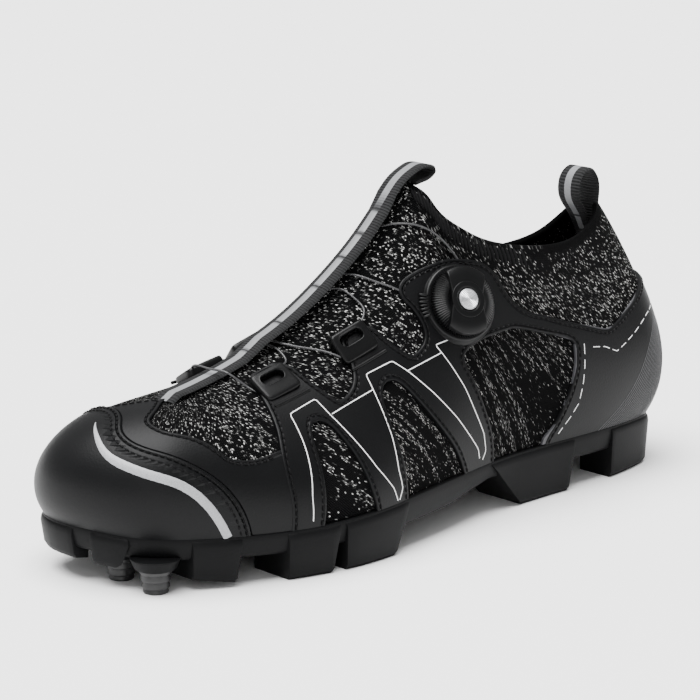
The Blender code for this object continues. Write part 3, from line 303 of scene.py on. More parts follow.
class Finish:
    # a material with one principled shader
    def __init__(self, name, colour, roughness, metallic=0.0, **fixed):
        self.material = bpy.data.materials.new(name)
        self.material.use_nodes = True
        self.tree = self.material.node_tree
        self.shader = self.tree.nodes["Principled BSDF"]
        self.shader.inputs["Base Color"].default_value = (*colour, 1.0)
        self.shader.inputs["Roughness"].default_value = roughness
        self.shader.inputs["Metallic"].default_value = metallic
        self.material.diffuse_color = (*colour, 1.0)
        for socket, value in fixed.items():
            self.shader.inputs[socket.replace("_", " ")].default_value = value

    def node(self, kind, settings=None, values=None):
        made = self.tree.nodes.new(kind)
        for name, value in (settings or {}).items():
            setattr(made, name, value)
        for name, value in (values or {}).items():
            if isinstance(value, Value):
                self.tree.links.new(value.socket, made.inputs[name])
            else:
                made.inputs[name].default_value = value
        return Made(self, made)

    def feed(self, socket, value):
        self.tree.links.new(value.socket, self.shader.inputs[socket])

    def objectPoint(self):
        return self.node("ShaderNodeTexCoord").out("Object")

    def attribute(self, name):
        return self.node("ShaderNodeAttribute", {"attribute_name": name}).out("Fac")

    def uv(self, name):
        point = self.node("ShaderNodeUVMap", {"uv_map": name}).out("UV")
        split = self.node("ShaderNodeSeparateXYZ", None, {0: point})
        return split.out("X"), split.out("Y")

    def joined(self, *parts):
        values = {k: part for k, part in enumerate(parts)}
        return self.node("ShaderNodeCombineXYZ", None, values).first

    def noise(self, point, scale, detail=3.0, roughness=0.5):
        values = {"Vector": point, "Scale": scale, "Detail": detail, "Roughness": roughness}
        return self.node("ShaderNodeTexNoise", {"noise_dimensions": "3D"}, values).out("Fac")

    def grain(self, point, scale):
        return self.node("ShaderNodeTexVoronoi", {"feature": "F1"},
                         {"Vector": point, "Scale": scale}).out("Distance")

    def chance(self, point):
        return self.node("ShaderNodeTexWhiteNoise", {"noise_dimensions": "3D"},
                         {"Vector": point}).out("Value")

    def mixColour(self, factor, dark, light):
        made = self.node("ShaderNodeMix", {"data_type": "RGBA"}).raw
        self.tree.links.new(factor.socket, made.inputs["Factor"])
        for socket, colour in (("A", dark), ("B", light)):
            target = next(i for i in made.inputs if i.name == socket and i.type == "RGBA")
            if isinstance(colour, Value):
                self.tree.links.new(colour.socket, target)
            else:
                target.default_value = (*colour, 1.0)
        return Value(self, next(o for o in made.outputs if o.type == "RGBA"))

    def bump(self, height, distance, strength=1.0):
        bumped = self.node("ShaderNodeBump", None,
                           {"Height": height, "Distance": distance, "Strength": strength})
        self.feed("Normal", bumped.first)


knitLook = {"wale": 1.16, "course": 0.92, "fineWale": 0.78, "fineCourse": 0.85, "slant": 1.1,
            "dark": (0.0022, 0.0023, 0.0025), "light": (0.78, 0.78, 0.76), "relief": 0.0009,
            "lean": 0.45}


def stitchRows(finish, s, t, wide, high, share):
    # columns of V stitches, some of them in light yarn: height of the loops and light yarn
    a = s / wide
    wale = a.floor()
    across = a - wale - 0.5
    away = across.abs()
    q = t / high + away * knitLook["slant"]
    stitch = q.floor()
    along = (q - stitch) * 2.0 - 1.0
    leg = (1.0 - ((away - 0.25) * 4.0) ** 2.0).over(0.0)
    side = across > 0.0
    pick = finish.chance(finish.joined(wale, stitch, side))
    shade = finish.chance(finish.joined(stitch, wale, side))
    body = leg.step(0.20, 0.75) * (1.0 - along * along).step(0.2, 0.7)
    light = (pick < share) * body * (0.04 + (shade ** 2.5) * 0.96)
    return leg * (1.0 - along * along * 0.7), light


def knitFinish():
    # black knit with light yarn: chunky over the foot, fine and streaked in the side windows
    finish = Finish("blackFleckKnit", knitLook["dark"], 0.92, Specular_IOR_Level=0.05)
    s, t = finish.uv("knit")
    collar, streak = finish.attribute("collar"), finish.attribute("streak")
    binding = finish.attribute("binding")
    drift = finish.noise(finish.joined(s * 0.12, t * 0.12, 3.0), 1.0, 2.0)
    lane = finish.noise(finish.joined((s / 1.7).floor() * 0.61, t * 0.02, 9.0), 1.0, 1.0)
    plain = 0.25 + drift.step(0.35, 0.7) * 0.16
    plain = plain + (0.16 - plain) * collar
    loop, light = stitchRows(finish, s, t, knitLook["wale"], knitLook["course"], plain)
    fineLoop, fineLight = stitchRows(finish, s, t, knitLook["fineWale"], knitLook["fineCourse"],
                                     0.05 + lane.step(0.46, 0.58) * 0.44)
    loop = (loop + (fineLoop - loop) * streak) * (1.0 - binding * 0.8)
    light = (light + (fineLight - light) * streak) * (1.0 - binding)
    # painted shade and painted highlight: the base colour follows the loop height, dark in the gaps
    # between loops and lighter on the loop tops; where the binding and the lining flatten the loops it
    # turns dark too
    base = finish.mixColour(loop * loop, (0.0006, 0.0006, 0.0007), (0.0072, 0.0073, 0.0078))
    finish.feed("Base Color", finish.mixColour(light, base, knitLook["light"]))
    finish.feed("Roughness", 0.92 - light * 0.35)
    finish.bump(loop, knitLook["relief"])
    return finish.material


def panelFinish():
    # coated sheet: fine pebble, sunk along its stitch rows
    finish = Finish("blackCoatedSheet", (0.0020, 0.0021, 0.0024), 0.42, Specular_IOR_Level=0.13)
    point = finish.objectPoint()
    pebble = finish.grain(point, 1500.0)
    slow = finish.noise(point, 35.0, 3.0)
    edge = finish.attribute("edge")
    sunk = (1.0 - ((edge - 1.5) / 0.55).abs()).over(0.0)
    band = finish.attribute("band")
    finish.feed("Roughness", 0.38 + slow * 0.10 + pebble * 0.03)
    finish.feed("Base Color", finish.mixColour(slow, (0.0014, 0.0015, 0.0017), (0.0028, 0.0029, 0.0033)))
    finish.bump(pebble * 0.05 + slow * 0.12 - sunk * 1.0 + band * 0.9, 0.0006)
    return finish.material


mouldLook = {
    "rubber": {"plain": ((0.0024, 0.0025, 0.0028), 0.5),
               "dark": (0.0018, 0.0019, 0.0021), "light": (0.0034, 0.0035, 0.0038), "rough": 0.47,
               "gloss": 0.09, "fine": 1800.0, "slow": (28.0, 4.0), "bump": (0.25, 0.2), "deep": 0.0002},
    "plastic": {"plain": ((0.0020, 0.0021, 0.0023), 0.34),
                "dark": (0.0014, 0.0015, 0.0016), "light": (0.0026, 0.0027, 0.0029), "rough": 0.30,
                "gloss": 0.18, "fine": 2600.0, "slow": (60.0, 3.0), "bump": (0.3, 0.0), "deep": 0.00008},
}


def mouldedFinish(name, look):
    # black sole rubber or hard plastic, a little uneven in tone and gloss
    finish = Finish(name, *look["plain"], Specular_IOR_Level=look["gloss"])
    point = finish.objectPoint()
    fine = finish.noise(point, look["fine"], 2.0)
    slow = finish.noise(point, *look["slow"])
    finish.feed("Roughness", look["rough"] + slow * 0.12)
    finish.feed("Base Color", finish.mixColour(slow, look["dark"], look["light"]))
    fineBump, slowBump = look["bump"]
    finish.bump(fine * fineBump + slow * slowBump, look["deep"])
    return finish.material


webLook = {"rib": 1.15, "stripe": 1.75}


def webbingFinish():
    # ribbed black tape with a grey reflective stripe down its middle
    finish = Finish("ribbedTape", (0.02, 0.02, 0.021), 0.8, Specular_IOR_Level=0.3)
    across, along = finish.uv("tape")
    point = finish.objectPoint()
    yarn = finish.noise(point, 2400.0, 2.0)
    wave = (along * (2.0 * math.pi / webLook["rib"])).sine() * 0.5 + 0.5
    stripe = 1.0 - across.abs().step(webLook["stripe"] - 0.12, webLook["stripe"] + 0.12)
    tack = finish.attribute("tack")
    shown = stripe * (1.0 - tack)
    # painted shade and painted highlight: the black tape is darker in the rib troughs and lighter on the
    # rib crests, following the same wave as the rib bump
    black = finish.mixColour(wave, (0.0018, 0.0018, 0.0020), (0.0085, 0.0087, 0.0094))
    grey = finish.mixColour(yarn, (0.13, 0.133, 0.140), (0.22, 0.223, 0.230))
    finish.feed("Base Color", finish.mixColour(shown, black, grey))
    finish.feed("Roughness", 0.84 - shown * 0.40)
    finish.bump(wave * (1.0 - shown) * 0.9 + yarn * 0.25 + shown * 0.5 - tack * 0.7, 0.00035)
    return finish.material


transferLook = {
    "stripe": {"plain": ((0.60, 0.61, 0.63), 0.40),
               "dark": (0.15, 0.153, 0.16), "light": (0.42, 0.425, 0.44), "rough": 0.34, "gloss": 0.5,
               "grain": 2200.0, "uneven": 0.16},
    "hatch": {"plain": ((0.08, 0.08, 0.083), 0.55),
              "dark": (0.06, 0.06, 0.062), "light": (0.11, 0.11, 0.114), "rough": 0.55, "gloss": 0.2,
              "grain": 1400.0, "uneven": 0.0},
    "white": {"plain": ((0.78, 0.78, 0.78), 0.5),
              "dark": (0.70, 0.70, 0.70), "light": (0.86, 0.86, 0.86), "rough": 0.5, "gloss": 0.5,
              "grain": 1400.0, "uneven": 0.0},
}


def transferFinish(name, look):
    # printed film with a fine grain
    finish = Finish(name, *look["plain"], Specular_IOR_Level=look["gloss"])
    fine = finish.noise(finish.objectPoint(), look["grain"], 3.0)
    finish.feed("Base Color", finish.mixColour(fine, look["dark"], look["light"]))
    finish.feed("Roughness", look["rough"] + fine * look["uneven"])
    return finish.material


def threadFinish():
    finish = Finish("blackThread", (0.0025, 0.0025, 0.0028), 0.7, Specular_IOR_Level=0.1)
    finish.bump(finish.noise(finish.objectPoint(), 3500.0, 2.0), 0.0001)
    return finish.material


def laceFinish():
    finish = Finish("coatedLace", (0.03, 0.03, 0.031), 0.35, Specular_IOR_Level=0.5)
    twist = finish.noise(finish.objectPoint(), 2600.0, 2.0)
    finish.feed("Base Color", finish.mixColour(twist, (0.012, 0.012, 0.013), (0.055, 0.055, 0.057)))
    finish.bump(twist, 0.00012)
    return finish.material


def studFinish():
    finish = Finish("darkSteel", (0.006, 0.006, 0.0065), 0.38, Specular_IOR_Level=0.5)
    slow = finish.noise(finish.objectPoint(), 300.0, 4.0)
    finish.feed("Roughness", 0.34 + slow * 0.22)
    finish.bump(slow, 0.0001)
    return finish.material


def discFinish():
    # turned silver disc: rings round the dial's axis, from its own map
    finish = Finish("turnedSilver", (0.62, 0.63, 0.65), 0.3, 1.0)
    radius, _ = finish.uv("disc")
    ring = (radius * (2.0 * math.pi / 0.55)).sine() * 0.5 + 0.5
    finish.feed("Roughness", 0.24 + ring * 0.2)
    # painted shade and painted highlight: the silver is darker in the ring grooves and lighter on the ring
    # ridges, following the same wave as the ring bump
    finish.feed("Base Color", finish.mixColour(ring, (0.42, 0.43, 0.45), (0.80, 0.81, 0.83)))
    finish.bump(ring, 0.00015)
    return finish.material


def footbedFinish():
    finish = Finish("footbedFabric", (0.02, 0.02, 0.021), 0.9, Specular_IOR_Level=0.2)
    point = finish.objectPoint()
    weave = finish.grain(point, 900.0)
    finish.feed("Base Color", finish.mixColour(weave, (0.004, 0.004, 0.0044), (0.012, 0.012, 0.013)))
    finish.bump(weave, 0.0003)
    return finish.material


finishes = {"knit": knitFinish(), "panel": panelFinish(),
            "rubber": mouldedFinish("mouldedRubber", mouldLook["rubber"]),
            "plastic": mouldedFinish("blackPlastic", mouldLook["plastic"]),
            "webbing": webbingFinish(), "thread": threadFinish(), "cable": laceFinish(),
            "stripe": transferFinish("silverTransfer", transferLook["stripe"]),
            "white": transferFinish("whiteTransfer", transferLook["white"]),
            "hatch": transferFinish("greyTransfer", transferLook["hatch"]),
            "stud": studFinish(), "disc": discFinish(), "foam": footbedFinish()}
print("finishes ready", len(finishes))


def linked(name, data):
    body = bpy.data.objects.new(name, data)
    bpy.context.scene.collection.objects.link(body)
    return body


def meshNow(body):
    # new mesh with the body's modifiers in it
    bpy.context.view_layer.update()
    graph = bpy.context.evaluated_depsgraph_get()
    return bpy.data.meshes.new_from_object(body.evaluated_get(graph))


def meshPiece(name, vertices, faces, finish, uvName=None, uv=None, attributes=None, flat=30.0):
    # welded closed mesh, faces outward; uv is given per vertex
    mesh = bpy.data.meshes.new(name)
    mesh.from_pydata([tuple(v) for v in vertices], [], [list(map(int, f)) for f in faces])
    if uv is not None:
        layer = mesh.uv_layers.new(name=uvName)
        index = np.empty(len(mesh.loops), dtype=np.int32)
        mesh.loops.foreach_get("vertex_index", index)
        layer.data.foreach_set("uv", np.asarray(uv, dtype=np.float32)[index].ravel())
    for label, values in (attributes or {}).items():
        made = mesh.attributes.new(label, "FLOAT", "POINT")
        made.data.foreach_set("value", np.asarray(values, dtype=np.float32))
    work = bmesh.new()
    work.from_mesh(mesh)
    bmesh.ops.remove_doubles(work, verts=work.verts, dist=0.000002)
    bmesh.ops.recalc_face_normals(work, faces=work.faces)
    work.to_mesh(mesh)
    work.free()
    mesh.set_sharp_from_angle(angle=math.radians(flat))
    body = linked(name, mesh)
    mesh.materials.append(finishes[finish])
    return body


def finished(body, slot, *nodes):
    # modifiers and place go into the mesh, then the piece rides on the shoe
    mesh = meshNow(body)
    mesh.transform(body.matrix_world)
    body.modifiers.clear()
    body.data = mesh
    body.matrix_world = Matrix.Identity(4)
    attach(body, "root")
    if nodes:
        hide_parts(*nodes)
    return body


def joinedPieces(name, bodies):
    # several bodies as one mesh, the first one's finish first
    work = bmesh.new()
    materials = []
    for body in bodies:
        mesh = meshNow(body)
        mesh.transform(body.matrix_world)
        shift = len(materials)
        materials += list(mesh.materials)
        for polygon in mesh.polygons:
            polygon.material_index += shift
        work.from_mesh(mesh)
        bpy.data.objects.remove(body)
    mesh = bpy.data.meshes.new(name)
    work.to_mesh(mesh)
    work.free()
    order = list(dict.fromkeys(materials))
    index = [order.index(m) for m in materials]
    for polygon in mesh.polygons:
        polygon.material_index = index[polygon.material_index]
    for material in order:
        mesh.materials.append(material)
    body = linked(name, mesh)
    return body


# metres, but depths down from the collar in mm and reaches in rows of the last
upper = {"panelDepth": 0.0010, "gap": 0.0003, "wall": 0.0022, "seat": 0.00005, "crownRings": 4,
         "collarDepth": 15.0, "collarFade": 3.0, "rimMargin": 0.2, "lining": 0.75,
         "bindReach": 4.3, "bindDepth": 3.4, "bindSideFade": 0.6, "bindFade": 0.3,
         "streakFrom": 0.2, "streakTo": 0.80, "streakFade": 0.02}
upper["outer"] = -upper["panelDepth"] - upper["gap"]
upper["inner"] = upper["outer"] - upper["wall"]

# side view line under which the knit is streaked: share of length, share of height
streakLine = ((0.18, 0.30), (0.25, 0.40), (0.34, 0.40), (0.42, 0.44), (0.55, 0.47), (0.66, 0.48),
              (0.80, 0.43))


def sideView(points):
    # frame points as shares of length and of height over the foot bed
    return ((points[..., 0] - toFrame[0]) / shoe["soleLength"],
            (points[..., 2] - shoe["stackHeight"]) / shoe["upperHeight"])


def makeKnit():
    # one knitted sock: outer and inner faces, rounded at the collar
    outer = sheet.moved(upper["outer"])
    inner = sheet.moved(upper["inner"])
    for layer in (outer, inner):
        layer[:, 0, 2] = soleLevel("bed", layer[:, 0, 0] - toFrame[0]) + upper["gap"]
    vertices = list(outer.reshape(-1, 3)) + list(inner.reshape(-1, 3))
    count = sheet.columns * sheet.rows
    faces = []
    for column in range(sheet.columns):
        a = column * sheet.rows
        b = (column + 1) % sheet.columns * sheet.rows
        for row in range(sheet.rows - 1):
            faces.append((a + row, b + row, b + row + 1, a + row + 1))
            faces.append((count + a + row + 1, count + b + row + 1, count + b + row, count + a + row))
        faces.append((a, a + count, b + count, b))
    tongue = shoe["tongueRow"] * shoe["columnsPerRow"]
    rim = range(tongue, sheet.columns - tongue + 1)
    rings = upper["crownRings"]
    crown = {}
    for column in rim:
        top = column * sheet.rows + sheet.rows - 1
        middle = (vertices[top] + vertices[top + count]) / 2.0
        half = (vertices[top] - vertices[top + count]) / 2.0
        crown[column] = [top]
        for k in range(1, rings):
            angle = math.pi * k / rings
            crown[column].append(len(vertices))
            lift = Vector((0.0, 0.0, upper["wall"] * 0.5 * math.sin(angle)))
            vertices.append(middle + half * math.cos(angle) + np.array(lift))
        crown[column].append(top + count)
    for column in list(rim)[:-1]:
        here, there = crown[column], crown[column + 1]
        faces += [(here[k], there[k], there[k + 1], here[k + 1]) for k in range(rings)]
    vertices = np.array(vertices)
    wale = np.repeat(sheet.wale[:-1], sheet.rows)
    course = sheet.course.ravel()
    extra = len(vertices) - 2 * count
    crownWale = np.repeat(sheet.wale[list(rim)], rings - 1)
    leaning = wale - np.repeat(sheet.lean, sheet.rows) * course * knitLook["lean"]
    uv = np.column_stack([np.concatenate([leaning, leaning, crownWale]),
                          np.concatenate([course, course, np.zeros(extra)])])
    place = np.repeat(sheet.u, sheet.rows)
    rimFrom = shoe["tongueRow"] + upper["rimMargin"]
    onRim = (place > rimFrom) & (place < loopSpan - rimFrom)
    depth = np.clip((upper["collarDepth"] - course) / upper["collarFade"], 0.0, 1.0) * onRim
    collar = np.concatenate([depth, depth, np.ones(extra)])
    along, rise = sideView(vertices)
    line = np.interp(along, *np.array(streakLine).T)
    inSpan = (along > upper["streakFrom"]) & (along < upper["streakTo"])
    streak = np.clip((line - rise) / upper["streakFade"], 0.0, 1.0) * inSpan
    # smooth dark binding round the back of the collar; the lining shows little light yarn
    def behind(u):
        return np.clip((upper["bindReach"] - np.abs(u - heelAt)) / upper["bindSideFade"], 0.0, 1.0)

    bound = np.clip((upper["bindDepth"] - course) / upper["bindFade"], 0.0, 1.0) * behind(place)
    crownBack = behind(np.repeat(sheet.u[list(rim)], rings - 1))
    binding = np.concatenate([bound, np.maximum(bound, upper["lining"]),
                              np.maximum(crownBack, upper["lining"])])
    body = meshPiece("knitSock", vertices, faces, "knit", "knit", uv,
                     {"collar": collar, "streak": streak, "binding": binding}, flat=60.0)
    return body


knitBody = makeKnit()
knitTree = BVHTree.FromPolygons([tuple(v.co) for v in knitBody.data.vertices],
                                [tuple(p.vertices) for p in knitBody.data.polygons])
finished(knitBody, "knit", "knit_upper")
print("knit sock", len(knitBody.data.polygons))


def smoothOutline(table, rounds=3):
    # closed outline with its corners cut round
    points = np.array(table, dtype=float)
    for _ in range(rounds):
        following = np.roll(points, -1, axis=0)
        points = np.stack([points * 0.75 + following * 0.25, points * 0.25 + following * 0.75],
                          axis=1).reshape(-1, 2)
    return points * (shoe["soleLength"], shoe["upperHeight"])


def signedDistance(outline, x, z):
    # distance in metres from a closed side view outline, positive inside
    start = outline
    run = np.roll(outline, -1, axis=0) - start
    at = np.stack([x.ravel(), z.ravel()], axis=1)
    best = np.full(len(at), np.inf)
    inside = np.zeros(len(at), dtype=bool)
    for a, d in zip(start, run):
        best = np.minimum(best, (awayFrom(a, d, at) ** 2).sum(axis=1))
        crosses = (a[1] > at[:, 1]) != (a[1] + d[1] > at[:, 1])
        with np.errstate(divide="ignore", invalid="ignore"):
            reach = a[0] + d[0] * (at[:, 1] - a[1]) / d[1]
        inside ^= crosses & (at[:, 0] < reach)
    return (np.sqrt(best) * np.where(inside, 1.0, -1.0)).reshape(x.shape)


# outlines in side view: shares of soleLength and of upperHeight over the foot bed
sideFront = ((0.213, -0.25), (0.213, 0.075), (0.210, 0.16), (0.214, 0.24), (0.228, 0.315),
             (0.236, 0.365))
lateralTop = ((0.243, 0.415), (0.255, 0.462), (0.306, 0.480), (0.312, 0.425), (0.334, 0.358),
              (0.342, 0.352), (0.372, 0.390), (0.384, 0.452), (0.385, 0.548), (0.434, 0.570),
              (0.444, 0.515), (0.470, 0.452), (0.482, 0.452), (0.508, 0.500), (0.502, 0.590),
              (0.484, 0.650), (0.500, 0.705), (0.560, 0.752), (0.618, 0.735), (0.648, 0.680),
              (0.661, 0.586), (0.690, 0.520), (0.725, 0.497), (0.754, 0.468), (0.796, 0.434),
              (0.840, 0.396), (0.856, 0.396), (0.914, 0.453), (0.952, 0.500), (0.982, 0.535),
              (1.150, 0.560))
medialTop = ((0.216, 0.405), (0.224, 0.452), (0.264, 0.476), (0.274, 0.425), (0.290, 0.372),
             (0.304, 0.395), (0.314, 0.482), (0.360, 0.512), (0.370, 0.450), (0.400, 0.424),
             (0.418, 0.480), (0.424, 0.580), (0.470, 0.620), (0.484, 0.560), (0.525, 0.530),
             (0.590, 0.545), (0.661, 0.566), (0.690, 0.520), (0.725, 0.497), (0.754, 0.468),
             (0.796, 0.434), (0.840, 0.396), (0.856, 0.396), (0.914, 0.453), (0.952, 0.500),
             (0.982, 0.535), (1.150, 0.560))
panelFoot = ((1.150, -0.25),)
windows = (
    ((0.252, -0.30), (0.264, 0.15), (0.269, 0.262), (0.280, 0.312), (0.303, 0.312), (0.316, 0.245),
     (0.331, 0.150), (0.372, -0.30)),
    ((0.411, -0.30), (0.405, 0.150), (0.400, 0.265), (0.405, 0.360), (0.424, 0.392), (0.441, 0.380),
     (0.458, 0.320), (0.487, 0.217), (0.530, 0.065), (0.575, -0.30)),
    ((0.609, -0.30), (0.604, 0.030), (0.600, 0.120), (0.588, 0.215), (0.572, 0.330), (0.553, 0.425),
     (0.604, 0.456), (0.654, 0.474), (0.670, 0.472), (0.722, 0.430), (0.774, 0.392), (0.773, 0.310),
     (0.761, 0.217), (0.736, 0.095), (0.711, 0.020), (0.690, -0.30)),
)


def sidePanelField(points, top):
    # distance inside the side panels of one side, windows left open
    along, rise = sideView(points)
    x, z = along * shoe["soleLength"], rise * shoe["upperHeight"]
    outline = smoothOutline(sideFront + top + panelFoot)
    field = signedDistance(outline, x, z)
    for window in windows:
        field = np.minimum(field, -signedDistance(smoothOutline(window), x, z))
    return field


capLook = {"raise": 0.0003, "span": 2.4, "band": 4.6, "bandFade": 0.5,
           "rows": (0.0013, 0.0036), "edge": 0.0005}
vampLook = {"raise": -0.0001, "underCap": 0.0015, "underSide": 0.012, "sideCover": 0.0034}
capEdge = ((-3.4, -0.30), (-3.05, 0.0), (-2.75, 0.25), (-2.35, 0.44), (-1.8, 0.60), (-1.2, 0.72),
           (-0.6, 0.785), (-0.1, 0.785), (0.23, 0.742), (0.46, 0.675), (0.75, 0.612), (1.41, 0.54),
           (1.98, 0.444), (2.35, 0.321), (2.54, 0.196), (2.68, 0.0), (2.80, -0.30))
vampEdge = ((-5.0, 0.42), (-3.4, 0.43), (-2.8, 0.46), (-2.2, 0.60), (-1.6, 0.70), (-1.0, 0.76),
            (-0.75, 0.84), (-0.5, 0.95), (0.0, 0.99), (0.5, 0.95), (0.78, 0.86), (0.80, 0.79),
            (1.0, 0.735), (1.37, 0.690), (1.70, 0.661), (2.18, 0.587), (2.42, 0.506), (2.55, 0.446),
            (2.73, 0.417), (2.94, 0.411), (3.17, 0.424), (3.5, 0.43), (5.0, 0.42))


def edgeField(points, u, h, table):
    # distance in metres from an edge over the toe, positive towards the sole
    knots = np.array(table) * (1.0, capLook["span"])
    run = runAlong(knots)
    at = np.linspace(0.0, run[-1], 160)
    curve = np.column_stack([naturalSpline(run, knots[:, k], at) for k in (0, 1)])
    spots = skinAt(np.mod(curve[:, 0], loopSpan), np.clip(curve[:, 1] / capLook["span"], 0.0, 1.0))
    spots[:, 2] += np.minimum(curve[:, 1], 0.0) * 0.02
    flat = points.reshape(-1, 3)
    best = np.full(len(flat), np.inf)
    for a, b in zip(spots[:-1], spots[1:]):
        best = np.minimum(best, (awayFrom(a, b - a, flat) ** 2).sum(axis=1))
    # the side comes from the unrolled plane of rows and heights
    here = np.stack([u.ravel(), h.ravel() * capLook["span"]], axis=1)
    near = np.full(len(here), np.inf)
    sign = np.zeros(len(here))
    for a, b in zip(curve[:-1], curve[1:]):
        d = b - a
        away = awayFrom(a, d, here)
        gap = (away ** 2).sum(axis=1)
        closer = gap < near
        near[closer] = gap[closer]
        side = d[1] * away[:, 0] - d[0] * away[:, 1]
        sign[closer] = np.sign(side[closer])
    return (np.sqrt(best) * sign).reshape(u.shape)


def clipped(polygons, level, above):
    # parts of the polygons on one side of a level of their last value
    result = []
    for polygon in polygons:
        values = [(corner[-1] - level) * above for corner in polygon]
        if min(values) >= 0.0:
            result.append(polygon)
            continue
        if max(values) <= 0.0:
            continue
        piece = []
        for k, corner in enumerate(polygon):
            following = (k + 1) % len(polygon)
            here, there = values[k], values[following]
            if here >= 0.0:
                piece.append(corner)
            if (here > 0.0 > there) or (here < 0.0 < there):
                piece.append(corner + (polygon[following] - corner) * (here / (here - there)))
        if len(piece) > 2:
            result.append(piece)
    return result


def triangles(block, field):
    # triangles of a stretch whose corners carry the field as their last value
    corners = np.concatenate([block, field[:, :, None]], axis=2)
    result = []
    for c in range(corners.shape[0] - 1):
        for r in range(corners.shape[1] - 1):
            cell = field[c:c + 2, r:r + 2]
            if cell.max() > 0.0:
                result.append([corners[c, r], corners[c + 1, r], corners[c + 1, r + 1]])
                result.append([corners[c, r], corners[c + 1, r + 1], corners[c, r + 1]])
    return result


def panelPiece(name, block, field, top, edge=0.00045):
    # sheet cut to its field, edge rounded over, closed down to the knit
    bottom = upper["outer"] + upper["seat"]
    raw = clipped(triangles(block, field), 0.0, 1.0)
    parts = []
    for low, high in ((0.0, edge * 0.3), (edge * 0.3, edge), (edge, 1.0)):
        parts += clipped(clipped(raw, low, 1.0), high, -1.0)
    index, corners, rings = {}, [], []
    for polygon in parts:
        ring = []
        for corner in polygon:
            key = tuple(np.round(corner[:3], 6))
            if key not in index:
                index[key] = len(corners)
                corners.append(corner)
            if index[key] not in ring:
                ring.append(index[key])
        if len(ring) > 2:
            rings.append(ring)
    corners = np.array(corners)
    share = np.clip(corners[:, -1] / edge, 0.0, 1.0)
    drop = edge * 0.9 * (1.0 - np.sqrt(np.clip(1.0 - (1.0 - share) ** 2, 0.0, 1.0)))
    above = corners[:, :3] + corners[:, 3:6] * (top - drop)[:, None]
    below = corners[:, :3] + corners[:, 3:6] * bottom
    count = len(corners)
    faces = rings + [[i + count for i in ring[::-1]] for ring in rings]
    edges = {(ring[k], ring[(k + 1) % len(ring)]) for ring in rings for k in range(len(ring))}
    faces += [[a, a + count, b + count, b] for a, b in edges if (b, a) not in edges]
    inside = np.concatenate([corners[:, -1], corners[:, -1]]) / mm
    uv = np.concatenate([corners[:, 6:8], corners[:, 6:8]])
    return meshPiece(name, np.concatenate([above, below]), faces, "panel", "sheet", uv,
                     {"edge": inside}, flat=50.0)


def isoLines(block, field, level, top):
    # lines on the panel at one distance from its edge: lists of point and normal
    corners = np.concatenate([block[:, :, :6], field[:, :, None]], axis=2)
    links, spots = {}, {}

    def crossing(a, b):
        first, second = corners[a], corners[b]
        share = (level - first[6]) / (second[6] - first[6])
        return first[:6] + (second[:6] - first[:6]) * share

    columns, rows = field.shape
    for c in range(columns - 1):
        for r in range(rows - 1):
            if not field[c:c + 2, r:r + 2].min() < level < field[c:c + 2, r:r + 2].max():
                continue
            for cell in (((c, r), (c + 1, r), (c + 1, r + 1)), ((c, r), (c + 1, r + 1), (c, r + 1))):
                ends = []
                for k in range(3):
                    a, b = sorted((cell[k], cell[(k + 1) % 3]))
                    if (field[a] - level) * (field[b] - level) < 0.0:
                        spots[(a, b)] = crossing(a, b)
                        ends.append((a, b))
                if len(ends) == 2:
                    links.setdefault(ends[0], []).append(ends[1])
                    links.setdefault(ends[1], []).append(ends[0])
    lines = []
    left = set(links)
    while left:
        start = next((k for k in sorted(left) if len(links[k]) == 1), None) or min(left)
        line, here = [start], start
        left.discard(start)
        while True:
            following = [k for k in links[here] if k in left]
            if not following:
                break
            here = following[0]
            left.discard(here)
            line.append(here)
        if len(line) > 3:
            points = np.array([spots[k] for k in line])
            lines.append((points[:, :3] + points[:, 3:6] * top, points[:, 3:6]))
    return lines


def evenly(points, normals, pitch):
    # same line with even steps: points, tangents and normals
    run = runAlong(points)
    count = max(int(run[-1] / pitch), 2)
    at = (np.arange(count) + 0.5) * run[-1] / count
    spots = np.column_stack([np.interp(at, run, points[:, k]) for k in range(3)])
    facing = np.column_stack([np.interp(at, run, normals[:, k]) for k in range(3)])
    facing /= np.linalg.norm(facing, axis=1)[:, None]
    tangent = np.gradient(spots, axis=0)
    tangent -= facing * (tangent * facing).sum(axis=1)[:, None]
    tangent /= np.maximum(np.linalg.norm(tangent, axis=1), 1e-9)[:, None]
    return spots, tangent, facing


def geometryTree(name, inputs):
    # empty node tree with geometry in and out and named inputs
    tree = bpy.data.node_groups.new(name, "GeometryNodeTree")
    tree.interface.new_socket("Geometry", in_out="INPUT", socket_type="NodeSocketGeometry")
    for label, kind, value in inputs:
        socket = tree.interface.new_socket(label, in_out="INPUT", socket_type=kind)
        if value is not None:
            socket.default_value = value
    tree.interface.new_socket("Geometry", in_out="OUTPUT", socket_type="NodeSocketGeometry")
    return tree, tree.nodes.new("NodeGroupInput"), tree.nodes.new("NodeGroupOutput")


def addNode(tree, kind, settings=None, **values):
    made = tree.nodes.new(kind)
    for name, value in (settings or {}).items():
        setattr(made, name, value)
    for name, value in values.items():
        socket = made.inputs[name.replace("_", " ")]
        if isinstance(value, bpy.types.NodeSocket):
            tree.links.new(value, socket)
        else:
            socket.default_value = value
    return made


